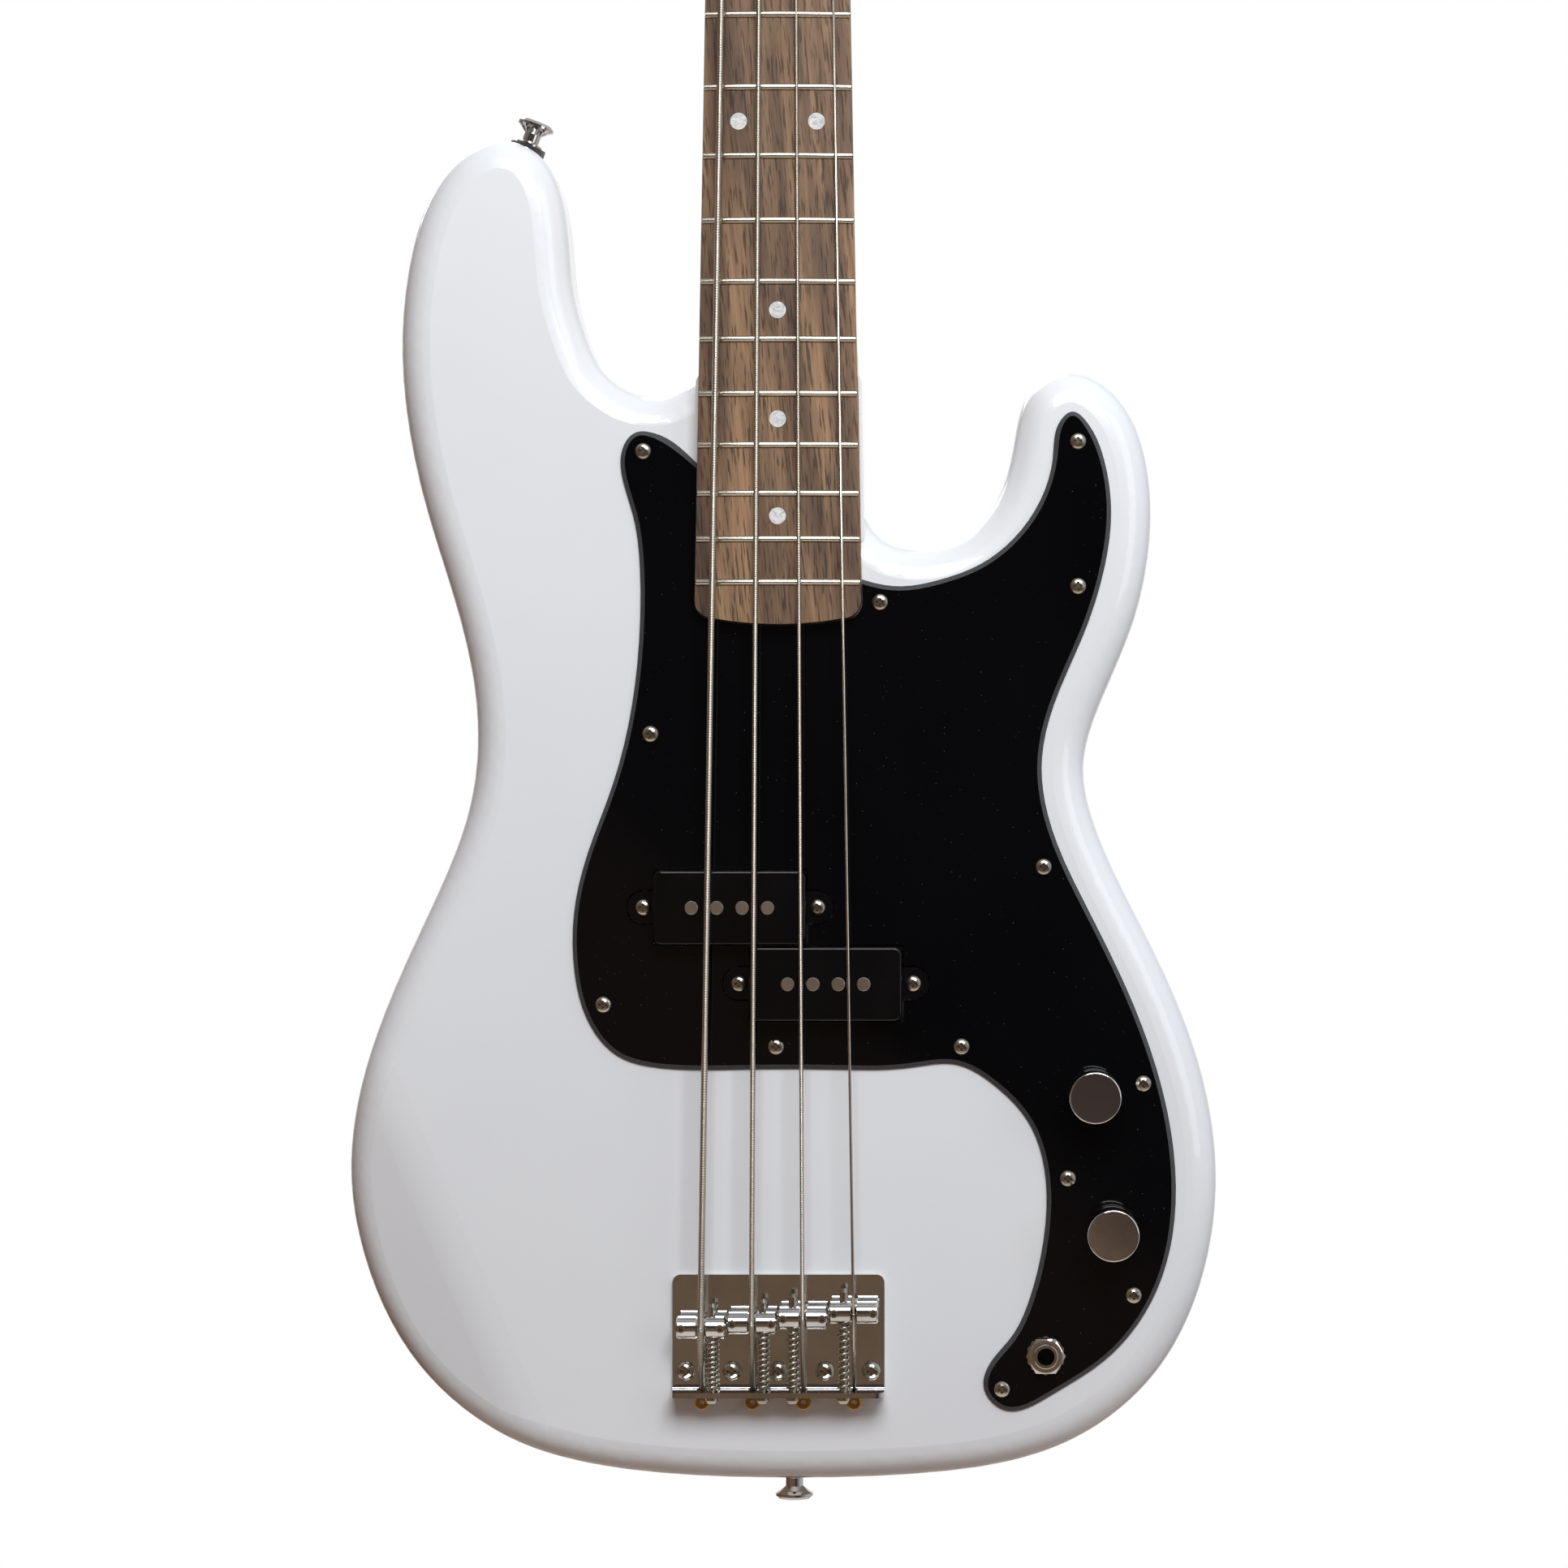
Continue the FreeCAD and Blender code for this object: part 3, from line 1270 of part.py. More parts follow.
def make_control_nuts():
    """A washer and a hexagon nut on each potentiometer's bushing."""
    bore = d.pot_bushing_diameter / 2 + d.fit_clearance
    seat = guard_top - d.washer_thickness
    nut = hexagon("control_nut", d.control_nut_width, bore, seat - d.control_nut_height, seat)
    flat_ring = washer("control_washer", d.control_nut_width / 2, bore, seat, guard_top)
    shapes = []
    for spot in (volume, tone):
        for item in (nut, flat_ring):
            shapes.append(moved(item.Shape, at(spot.x, 0, spot.z)))
    keep("control_nuts", group("control_nuts", shapes))


jack_arm_x = (d.jack_bore + d.jack_flange_diameter) / 4


def make_jack():
    """A threaded bushing with a flange under the pickguard and two contact arms beside the plug."""
    bore = d.jack_bore / 2
    outer = d.jack_bushing_diameter / 2
    front = guard_top - d.jack_proud
    flange_back = d.jack_flange_thickness
    profile = [
        (bore, front), (outer - d.washer_thickness / 2, front), (outer, front + d.washer_thickness / 2),
        (outer, 0),
        (d.jack_flange_diameter / 2, 0), (d.jack_flange_diameter / 2, flange_back), (bore, flange_back),
    ]
    bushing = turned("jack_bushing", profile)
    bushing.Placement = at(jack.x, 0, jack.z)
    doc.recompute()
    half = d.jack_contact_width / 2
    thick = d.jack_contact_thickness
    sleeve_arm = Part.makeBox(thick, d.jack_frame_length, d.jack_contact_width,
                              Vector(jack.x + jack_arm_x - thick / 2, flange_back, jack.z - half))
    tip_length = d.jack_frame_length + d.jack_contact_width
    tip_arm = Part.makeBox(thick, tip_length, d.jack_contact_width,
                           Vector(jack.x - jack_arm_x - thick / 2, flange_back, jack.z - half))
    hook = Part.makeBox(jack_arm_x - bore - d.screw_clearance, thick, d.jack_contact_width,
                        Vector(jack.x - jack_arm_x, flange_back + tip_length - thick, jack.z - half))
    frame = solid("jack_frame", Part.makeCompound([sleeve_arm, tip_arm.fuse(hook)]))
    keep("output_jack", fuse("output_jack", [bushing, frame]))
    ring_bore = outer + d.fit_clearance
    seat = guard_top - d.washer_thickness
    nut = hexagon("jack_nut_hexagon", d.jack_nut_width, ring_bore, seat - d.jack_nut_height, seat)
    plate = washer("jack_washer", d.jack_washer_diameter / 2, ring_bore, seat, guard_top)
    place = at(jack.x, 0, jack.z)
    keep("jack_nut", group("jack_nut", [moved(nut.Shape, place), moved(plate.Shape, place)]))


def make_wiring():
    """Leads from the pickups to the volume control, on to the tone control and to the jack."""
    rest = d.channel_depth + (d.channel_diameter - d.wire_diameter) / 2 - d.screw_clearance
    touch = d.pot_height + d.wire_diameter / 2 + d.screw_clearance
    can = d.pot_diameter / 2
    mid = pickups["treble"]
    lead = (Vector(mid.x + d.pickup_length / 2, 0, mid.y) - volume).normalize()
    outlet_x = mid.x + ear_span + d.pickup_screw_shank / 2 + d.wire_diameter
    outlet = volume + lead * ((outlet_x - volume.x) / lead.x)
    run = (tone - volume).normalize()
    turn = (jack - tone).normalize()
    contact_x = jack_arm_x + (d.jack_contact_thickness + d.wire_diameter) / 2 + d.screw_clearance
    contact = jack + Vector(contact_x, 0, 0)
    routes = [
        [outlet + backward * rest, volume + lead * (can * WIRE_DROP_SHARE) + backward * rest,
         volume + lead * (can * WIRE_START_SHARE) + backward * touch],
        [volume + run * (can * WIRE_START_SHARE) + backward * touch, (volume + tone) * 0.5 + backward * rest,
         tone - run * (can * WIRE_END_SHARE) + backward * touch],
        [tone + turn * (can * WIRE_END_SHARE) + backward * touch, (tone + jack) * 0.5 + backward * rest,
         contact + backward * d.jack_frame_length],
    ]
    wires = []
    for first, middle, last in routes:
        arc = corner_arc(first, middle, last, d.wire_bend_radius)
        curves = [Part.LineSegment(first, arc[0]), Part.Arc(*arc), Part.LineSegment(arc[2], last)]
        wires.append(tube(curves, d.wire_diameter))
    keep("wiring", group("wiring", wires))
    start = Vector(tone.x, d.pot_height + d.capacitor_diameter / 2, tone.z - d.capacitor_length / 2)
    can_body = Part.makeCylinder(d.capacitor_diameter / 2, d.capacitor_length, start)
    keep("capacitor", solid("capacitor", can_body.makeFillet(d.capacitor_edge, can_body.Edges)))


# Strap buttons

def make_buttons():
    """Flared buttons with their screws, and a felt ring under the horn's."""
    foot = d.button_foot_diameter / 2
    stem = d.button_stem_diameter / 2
    head = d.button_head_diameter / 2
    height = d.button_height
    bore = d.button_screw_shank / 2 + d.screw_clearance
    sunk = d.button_screw_head / 2 + d.screw_clearance
    seat = height - d.button_screw_dome
    stem_top, flare = BUTTON_FLARE_SHARES
    profile = [
        (bore, 0), (foot, 0), (foot, -d.button_foot_height / 2), (stem, -d.button_foot_height),
        (stem * stem_top[0], -height * stem_top[1]), (head * flare[0], -height * flare[1]),
        (head, -height + d.button_rim), (head, -height + d.button_rim / 2),
        (head - d.button_rim / 2, -height), (sunk, -height), (sunk, -seat), (bore, -seat),
    ]
    button = turned("button_turned", profile)
    screw = wood_screw("button_screw", d.button_screw_head, d.button_screw_dome, d.button_screw_shank,
                       d.button_screw_length)
    stand = Rotation(Vector(1, 0, 0), -90)
    shapes = []
    end, horn = button_places()
    felt_gap = d.felt_thickness
    for place, lift in ((end, d.fit_clearance), (horn, felt_gap)):
        seated = place.multiply(Placement(Vector(0, 0, lift), stand))
        shapes.append(moved(button.Shape, seated))
        shapes.append(moved(screw.Shape, seated.multiply(at(0, -seat, 0))))
    keep("strap_buttons", group("strap_buttons", shapes))
    felt = washer("felt_ring", d.felt_diameter / 2, bore, -felt_gap, d.felt_thickness)
    cushion = moved(felt.Shape, horn.multiply(Placement(Vector(0, 0, 0), stand)))
    keep("strap_felt", solid("strap_felt", cushion.cut(pieces["body"].Shape)))


# Fingerboard, frets, dots and nut

board_axis_y = d.fingerboard_radius - d.fingerboard_height
DOT_FRETS = [3, 5, 7, 9, 15, 17, 19]


def bent_bar(name, profile, half_span):
    """A bar across the board: a profile of radius and height, swept round the board's own axis."""
    points = [Vector(0, board_axis_y - radius, z) for radius, z in profile]
    face = Part.Face(Part.makePolygon(points + points[:1]))
    half_turn = math.degrees(math.asin(half_span / d.fingerboard_radius))
    axis = Vector(0, board_axis_y, 0)
    face.rotate(axis, Vector(0, 0, 1), -half_turn)
    return solid(name, face.revolve(axis, Vector(0, 0, 1), 2 * half_turn))


def dot_places():
    """Midway between two frets; two dots at the octave."""
    places = [flat(0, (fret_z(number - 1) + fret_z(number)) / 2) for number in DOT_FRETS]
    octave_z = (fret_z(OCTAVE - 1) + fret_z(OCTAVE)) / 2
    return places + [flat(side * d.octave_dot_spread / 2, octave_z) for side in (-1, 1)]


def make_fingerboard():
    front = -d.fingerboard_height
    blank = prism("board_blank", neck_outline(0, 0), front, wood_top)
    low_z = board_end_z - d.fingerboard_end_bow - d.cut_overrun
    dome = doc.addObject("Part::Cylinder", "board_dome")
    bind(dome, Radius="sizes.fingerboard_radius")
    dome.Height = -low_z + d.cut_overrun
    dome.Placement = at(0, board_axis_y, low_z)
    board = doc.addObject("Part::Common", "board_domed")
    board.Base = blank
    board.Tool = dome
    doc.recompute()
    over = d.fingerboard_radius + d.cut_overrun
    under = d.fingerboard_radius - d.fret_tang_depth
    slot = d.fret_tang / 2 + d.fit_clearance
    tools = []
    for number in range(1, int(d.fret_count) + 1):
        z = fret_z(number)
        profile = [(under, z - slot), (over, z - slot), (over, z + slot), (under, z + slot)]
        tools.append(bent_bar("fret_slot", profile, half_width(z) + d.cut_overrun))
    dot_back = front + d.dot_depth
    rods = []
    for p in dot_places():
        start = Vector(p.x, front - d.cut_overrun, p.y)
        rods.append(Part.makeCylinder(d.dot_diameter / 2, dot_back - start.y, start, backward))
    keep("position_dots", group("position_dots", [board.Shape.common(rod) for rod in rods]))
    tools += holes("dot_hole", dot_places(), "sizes.dot_diameter / 2 + sizes.fit_clearance",
                   front - d.cut_overrun, "sizes.dot_depth + sizes.cut_overrun")
    keep("fingerboard", cut("fingerboard", board, tools))


def make_frets():
    """Domed crowns with a tang, bent to the board's radius."""
    bars = []
    base = d.fingerboard_radius
    crown = d.fret_crown
    wide = d.fret_width / 2
    tang = d.fret_tang / 2
    low = base - d.fret_tang_depth + d.fit_clearance
    for number in range(1, int(d.fret_count) + 1):
        z = fret_z(number)
        dome = []
        for step in range(9):
            turn = math.pi * step / 8
            dome.append((base + crown * math.sin(turn), z + wide * math.cos(turn)))
        profile = [(base, z - tang), (low, z - tang), (low, z + tang), (base, z + tang)] + dome
        bars.append(bent_bar("fret", profile, half_width(z) - d.fret_inset).Shape)
    keep("frets", group("frets", bars))


def make_nut():
    top = d.string_height_nut + d.nut_rise
    half = d.nut_width / 2
    blank = Part.makeBox(d.nut_width, top + wood_top, d.nut_thickness, Vector(-half, -top, 0))
    radius = d.fingerboard_radius + top - d.fingerboard_height
    dome = Part.makeCylinder(radius, d.nut_thickness, Vector(0, board_axis_y, 0))
    shape = blank.common(dome)
    for key in STRINGS:
        slot = string_diameter(key) / 2 + d.string_clearance
        y = -d.string_height_nut - string_diameter(key) / 2
        start = Vector(nut_x(key), y, -d.cut_overrun)
        length = d.nut_thickness + 2 * d.cut_overrun
        shape = shape.cut(Part.makeCylinder(slot, length, start))
        open_top = Part.makeBox(2 * slot, top, length, Vector(nut_x(key) - slot, y - top, -d.cut_overrun))
        shape = shape.cut(open_top)
    keep("nut", solid("nut", shape))


# Neck

ledge_z = d.nut_thickness + d.headstock_ledge
front_scoop_y = headstock_front - d.headstock_scoop_radius
throat_z = ledge_z + math.sqrt(d.headstock_scoop_radius ** 2 - (wood_top - front_scoop_y) ** 2)
nut_back_y = d.neck_thickness_nut - d.fingerboard_height
throat_rise = d.throat_radius - (headstock_back - nut_back_y)
throat_low_z = throat_z - math.sqrt(d.throat_radius ** 2 - throat_rise ** 2)
rod_y = wood_top + d.truss_rod_depth + d.truss_rod_diameter / 2
tuner_turn = Rotation(Vector(0, 1, 0), 180 + d.tuner_slant)


def neck_section(z):
    """A rounded back under a straight front, at one height."""
    half = half_width(z)
    thick = d.neck_thickness_nut + (d.neck_thickness_heel - d.neck_thickness_nut) * z / heel_end_z
    deep = thick - d.fingerboard_height - wood_top
    oval = Part.Ellipse(Vector(0, wood_top, 0), half, deep)
    return [
        Part.ArcOfEllipse(oval, 0, math.pi),
        Part.LineSegment(Vector(-half, wood_top), Vector(half, wood_top)),
    ]


def string_line(key):
    """Start at the nut and direction of a string, seen from the front."""
    nut = flat(nut_x(key), d.nut_thickness)
    way = nut - flat(bridge_x(key), saddle_place(key))
    return nut, way.normalize()


def wrap_radius(key):
    return (d.post_diameter + string_diameter(key)) / 2 + d.string_clearance


def post_touch(key):
    """Where a string meets its post, seen from the front."""
    nut, way = string_line(key)
    z = d.tuner_first + STRINGS.index(key) * d.tuner_pitch
    return nut + way * ((z - nut.y) / way.y)


def post_mid(key):
    """A post's centre, on the bass side of its string."""
    way = string_line(key)[1]
    return post_touch(key) + Vector(-way.y, way.x, 0) * wrap_radius(key)


def tuner_place(key):
    """The frame of one tuner: own X towards the key, own Y to the back."""
    mid = post_mid(key)
    return Placement(Vector(mid.x, 0, mid.y), tuner_turn)


def tuner_screw_spots():
    """Screw places in the tuner's own frame, as x and z."""
    side = d.tuner_plate_width / 2 - d.tuner_screw_inset
    low = -d.tuner_plate_below + d.tuner_screw_inset
    high = d.tuner_plate_above - d.tuner_screw_inset
    return [flat(x, z) for x in (-side, side) for z in (low, high)]


def tree_mid():
    """The string tree's centre, between the two thin strings."""
    spots = []
    for key in ("d", "g"):
        nut, way = string_line(key)
        spots.append(nut + way * ((d.tree_place - nut.y) / way.y))
    return (spots[0] + spots[1]) * 0.5


def headstock_blank():
    points = scaled(HEADSTOCK_OUTLINE_SHARES, d.headstock_width, 0, d.headstock_length)
    rim = Part.BSplineCurve()
    rim.interpolate(points)
    curves = [rim, Part.LineSegment(points[-1], points[0])]
    block = prism("headstock_block", curves, headstock_front, headstock_back)
    rounded = doc.addObject("Part::Fillet", "headstock_rounded")
    rounded.Base = block
    radius = d.headstock_edge_radius
    rounded.Edges = [
        (index, radius, radius) for index, edge in enumerate(block.Shape.Edges, start=1)
        if edge.Curve.TypeId == "Part::GeomBSplineCurve"
    ]
    doc.recompute()
    return rounded


def make_neck():
    shaft = new_body("neck_shaft")
    low_z = heel_end_z - d.heel_scoop_radius
    first = sketch(shaft, neck_section(low_z), role="XY_Plane", lift=low_z)
    last = sketch(shaft, neck_section(throat_z), role="XY_Plane", lift=throat_z)
    loft = shaft.newObject("PartDesign::AdditiveLoft", "shaft")
    loft.Profile = first
    loft.Sections = [last]
    loft.Ruled = True
    doc.recompute()
    half = d.heel_width
    across = "2 * sizes.heel_width"
    heel_top = heel_end_z + d.heel_scoop_radius
    heel_wood = prism("heel_wood", neck_outline(0, heel_top), wood_top, d.pocket_depth)
    heel_scoop = cylinder("heel_scoop", "sizes.heel_scoop_radius", across,
                          along_x(-half, d.pocket_depth, heel_top))
    heel = cut("heel", heel_wood, [heel_scoop])
    throat_side = half_width(throat_z)
    corners = [
        flat(-throat_side, throat_low_z), flat(throat_side, throat_low_z),
        flat(throat_side, throat_z), flat(-throat_side, throat_z),
    ]
    throat_wood = prism("throat_wood", closed(corners), wood_top, headstock_back)
    throat_scoop = cylinder("throat_scoop", "sizes.throat_radius", across,
                            along_x(-half, nut_back_y + d.throat_radius, throat_low_z))
    throat = cut("throat", throat_wood, [throat_scoop])
    whole = fuse("neck_whole", [shaft, heel, throat, headstock_blank()])
    tools = [cylinder("front_scoop", "sizes.headstock_scoop_radius", across,
                      along_x(-half, front_scoop_y, throat_z))]
    tip_y = d.body_thickness + d.neck_plate_thickness - d.neck_screw_length
    tools += holes("neck_screw_bore", neck_screws, "sizes.neck_screw_shank / 2 + sizes.screw_clearance",
                   tip_y, "sizes.neck_screw_length")
    posts = [post_mid(key) for key in STRINGS]
    tools += holes("bushing_bore", posts, "sizes.bushing_diameter / 2 + sizes.screw_clearance",
                   headstock_front - d.cut_overrun, "sizes.headstock_thickness + 2 * sizes.cut_overrun")
    screw_tip = headstock_back + d.tuner_plate_thickness - d.tuner_screw_length
    for key in STRINGS:
        spots = [tuner_place(key).multVec(Vector(p.x, 0, p.y)) for p in tuner_screw_spots()]
        tools += holes("tuner_screw_bore", [flat(p.x, p.z) for p in spots],
                       "sizes.tuner_screw_shank / 2 + sizes.screw_clearance", screw_tip,
                       "sizes.tuner_screw_length")
    tools += holes("tree_bore", [tree_mid()], "sizes.tree_screw_shank / 2 + sizes.screw_clearance",
                   headstock_front - d.cut_overrun, "sizes.tree_screw_depth + sizes.cut_overrun")
    rod_low = board_end_z + d.truss_rod_margin
    rod_bore = doc.addObject("Part::Cylinder", "rod_bore")
    bind(rod_bore, Radius="sizes.truss_rod_diameter / 2 + sizes.screw_clearance")
    rod_bore.Height = -rod_low - d.truss_rod_margin
    rod_bore.Placement = at(0, rod_y, rod_low)
    tools.append(rod_bore)
    keep("neck", cut("neck", whole, tools))
    rod = Part.makeCylinder(d.truss_rod_diameter / 2, -rod_low - d.truss_rod_margin - 2 * d.screw_clearance,
                            Vector(0, rod_y, rod_low + d.screw_clearance))
    keep("truss_rod", solid("truss_rod", rod))


def make_neck_plate():
    back = d.body_thickness + d.neck_plate_thickness
    loop = rounded_loop(rectangle(0, plate_mid_z, d.neck_plate_width, d.neck_plate_length), d.neck_plate_radius)
    blank = prism("plate_blank", loop, d.body_thickness, back)
    tools = holes("plate_hole", neck_screws, "sizes.neck_screw_shank / 2 + sizes.screw_clearance",
                  d.body_thickness - d.cut_overrun, "sizes.neck_plate_thickness + 2 * sizes.cut_overrun")
    keep("neck_plate", cut("neck_plate", blank, tools))
    screw = wood_screw("neck_screw", d.neck_screw_head, d.neck_screw_dome, d.neck_screw_shank,
                       d.neck_screw_length)
    turn = Rotation(Vector(0, 0, 1), 180)
    keep("neck_screws", group("neck_screws", [
        moved(screw.Shape, Placement(Vector(p.x, back, p.y), turn)) for p in neck_screws
    ]))


# Tuners: built once in a frame of their own, then placed four times

plate_back = headstock_back + d.tuner_plate_thickness
gear_front = plate_back + d.gear_lift
gear_mid_y = gear_front + d.gear_thickness / 2
gear_back = gear_front + d.gear_thickness
worm_pitch = 2 * math.pi * d.gear_pitch_radius / d.gear_teeth
worm_offset = d.gear_pitch_radius + d.worm_pitch_radius
worm_lead = worm_pitch / (2 * math.pi * d.worm_pitch_radius)
tooth_half = (worm_pitch - d.tooth_backlash) / 4
tooth_spread = math.tan(math.radians(d.tooth_slope))
worm_half = d.worm_turns * worm_pitch / 2 + tooth_half + d.tooth_dedendum * tooth_spread
ear_inner = worm_half + d.ear_gap


def tooth_section(y):
    """The gear wheel's outline at one depth, turned by its helix."""
    root = d.gear_pitch_radius - d.tooth_dedendum
    tip = d.gear_pitch_radius + d.tooth_addendum
    wide = tooth_half + d.tooth_dedendum * tooth_spread
    slim = tooth_half - d.tooth_addendum * tooth_spread
    count = int(d.gear_teeth)
    twist = worm_lead * (y - gear_mid_y) / d.gear_pitch_radius
    points = []
    for tooth in range(count):
        middle = 2 * math.pi * (tooth + 0.5) / count + twist
        for radius, shift in ((root, -wide), (tip, -slim), (tip, slim), (root, wide)):
            turn = middle + shift / radius
            points.append(Vector(radius * math.sin(turn), y, radius * math.cos(turn)))
    return Part.makePolygon(points + points[:1])


def gear_wheel():
    sections = [tooth_section(gear_front), tooth_section(gear_mid_y), tooth_section(gear_back)]
    return Part.makeLoft(sections, True, True)


def worm_solid():
    """A right-handed worm along its own Z axis, with its thread on +X at the middle."""
    root = d.worm_pitch_radius - d.tooth_dedendum
    tip = d.worm_pitch_radius + d.tooth_addendum
    sunk = root - d.tooth_dedendum / 4
    wide = tooth_half + (d.worm_pitch_radius - sunk) * tooth_spread
    slim = tooth_half - d.tooth_addendum * tooth_spread
    length = d.worm_turns * worm_pitch
    helix = Part.makeHelix(worm_pitch, length, d.worm_pitch_radius)
    corners = [Vector(sunk, 0, -wide), Vector(tip, 0, -slim), Vector(tip, 0, slim), Vector(sunk, 0, wide)]
    thread = Part.Wire(helix.Edges).makePipeShell([Part.makePolygon(corners + corners[:1])], True, True)
    thread.translate(Vector(0, 0, -length / 2))
    thread.rotate(Vector(0, 0, 0), Vector(0, 0, 1), 180 * d.worm_turns)
    core = Part.makeCylinder(root, 2 * worm_half, Vector(0, 0, -worm_half))
    return core.fuse(thread)


def make_tuners():
    places = {key: tuner_place(key) for key in STRINGS}
    plate = tuner_plate()
    keep("tuner_plates", group("tuner_plates", [moved(plate.Shape, places[key]) for key in STRINGS]))
    bushing = tuner_bushing()
    keep("tuner_bushings", group("tuner_bushings", [moved(bushing.Shape, places[key]) for key in STRINGS]))
    screw = wood_screw("tuner_screw", d.tuner_screw_head, d.tuner_screw_dome, d.tuner_screw_shank,
                       d.tuner_screw_length)
    turn = Rotation(Vector(0, 0, 1), 180)
    seats = [Placement(Vector(p.x, plate_back, p.y), turn) for p in tuner_screw_spots()]
    keep("tuner_screws", group("tuner_screws", [
        moved(screw.Shape, places[key].multiply(seat)) for key in STRINGS for seat in seats
    ]))
    post = tuner_post()
    tuner_key = key_solid()
    for key in STRINGS:
        keep("tuner_post_" + key, solid("tuner_post_" + key, moved(post.Shape, places[key])))
        keep("tuner_key_" + key, solid("tuner_key_" + key, moved(tuner_key.Shape, places[key])))


def tuner_plate():
    """A plate with two bearing ears for the worm's shaft."""
    mid_z = (d.tuner_plate_above - d.tuner_plate_below) / 2
    length = d.tuner_plate_above + d.tuner_plate_below
    loop = rounded_loop(rectangle(0, mid_z, d.tuner_plate_width, length), d.tuner_plate_radius)
    layers = [prism("tuner_plate_flat", loop, headstock_back, plate_back)]
    radius = d.ear_width / 2
    for side in (-1, 1):
        x = ear_inner if side > 0 else -ear_inner - d.ear_thickness
        upright = Part.makeBox(d.ear_thickness, gear_mid_y - headstock_back, d.ear_width,
                               Vector(x, headstock_back, worm_offset - radius))
        eye = Part.makeCylinder(radius, d.ear_thickness, Vector(x, gear_mid_y, worm_offset), Vector(1, 0, 0))
        layers.append(solid("tuner_ear", upright.fuse(eye)))
    whole = fuse("tuner_plate_whole", layers)
    reach = 2 * (ear_inner + d.ear_thickness + d.cut_overrun)
    shaft = Part.makeCylinder(d.worm_shaft_diameter / 2 + d.fit_clearance, reach,
                              Vector(-reach / 2, gear_mid_y, worm_offset), Vector(1, 0, 0))
    depth = "sizes.tuner_plate_thickness + 2 * sizes.cut_overrun"
    front = headstock_back - d.cut_overrun
    tools = [solid("tuner_shaft_bore", shaft)]
    tools += holes("tuner_post_bore", [flat(0, 0)], "sizes.post_diameter / 2 + sizes.fit_clearance",
                   front, depth)
    tools += holes("tuner_screw_hole", tuner_screw_spots(),
                   "sizes.tuner_screw_shank / 2 + sizes.screw_clearance", front, depth)
    return cut("tuner_plate", whole, tools)


def tuner_bushing():
    bore = d.post_diameter / 2 + d.fit_clearance
    outer = d.bushing_diameter / 2
    flange = d.bushing_flange_diameter / 2
    front = headstock_front - d.bushing_flange
    profile = [
        (bore, front), (flange - d.bushing_flange / 2, front), (flange, front + d.bushing_flange / 2),
        (flange, headstock_front), (outer, headstock_front), (outer, headstock_front + d.bushing_length),
        (bore, headstock_front + d.bushing_length),
    ]
    return turned("tuner_bushing", profile)


def tuner_post():
    """A slotted post with a shoulder and its gear wheel, held by a screw at the back."""
    radius = d.post_diameter / 2
    front = headstock_front - d.post_head_height
    shoulder = d.gear_shoulder_diameter / 2
    edge = d.post_slot / 4
    profile = [
        (0, front), (radius - edge, front), (radius, front + edge), (radius, plate_back + d.fit_clearance),
        (shoulder, plate_back + d.fit_clearance), (shoulder, gear_front + d.fit_clearance),
        (0, gear_front + d.fit_clearance),
    ]
    stem = turned("post_stem", profile)
    head = Part.makeCylinder(d.gear_screw_diameter / 2, d.gear_screw_height, Vector(0, gear_back, 0), backward)
    half_slot = d.intonation_slot / 2
    groove = Part.makeBox(d.gear_screw_diameter, d.gear_screw_height, d.intonation_slot,
                          Vector(-d.gear_screw_diameter / 2, gear_back + d.gear_screw_height / 2, -half_slot))
    whole = fuse("post_whole", [stem, solid("post_gear", gear_wheel()), solid("post_screw", head.cut(groove))])
    half = d.post_slot / 2
    slot = Part.makeBox(d.post_slot, d.post_slot_depth + d.cut_overrun, 2 * d.post_diameter,
                        Vector(-half, front - d.cut_overrun, -d.post_diameter))
    return cut("tuner_post", whole, [solid("post_slot", slot)])


def key_solid():
    """A shaft with the worm, a collar and a flat oval button."""
    radius = d.worm_shaft_diameter / 2
    outer = ear_inner + d.ear_thickness
    start = -outer - d.ear_gap
    sideways = Vector(1, 0, 0)
    shaft = Part.makeCylinder(radius, d.key_distance + d.key_edge * 2 - start,
                              Vector(start, gear_mid_y, worm_offset), sideways)
    collar = Part.makeCylinder(d.key_collar_diameter / 2, d.key_collar_length,
                               Vector(outer + d.ear_gap, gear_mid_y, worm_offset), sideways)
    oval = Part.Ellipse(Vector(0, 0, 0), d.key_length / 2, d.key_width / 2)
    face = Part.Face(Part.Wire([oval.toShape()]))
    button = face.extrude(Vector(0, 0, d.key_thickness))
    button = button.makeFillet(d.key_edge, [edge for edge in button.Edges if not edge.isSeam(button.Faces[0])])
    mid = Vector(d.key_distance + d.key_length / 2, gear_mid_y - d.key_thickness / 2, worm_offset)
    button = moved(button, Placement(mid, Rotation(Vector(1, 0, 0), -90)))
    worm = moved(worm_solid(), along_x(0, gear_mid_y, worm_offset))
    items = [solid("key_shaft", shaft), solid("key_collar", collar), solid("key_button", button),
             solid("key_worm", worm)]
    return fuse("key_whole", items)


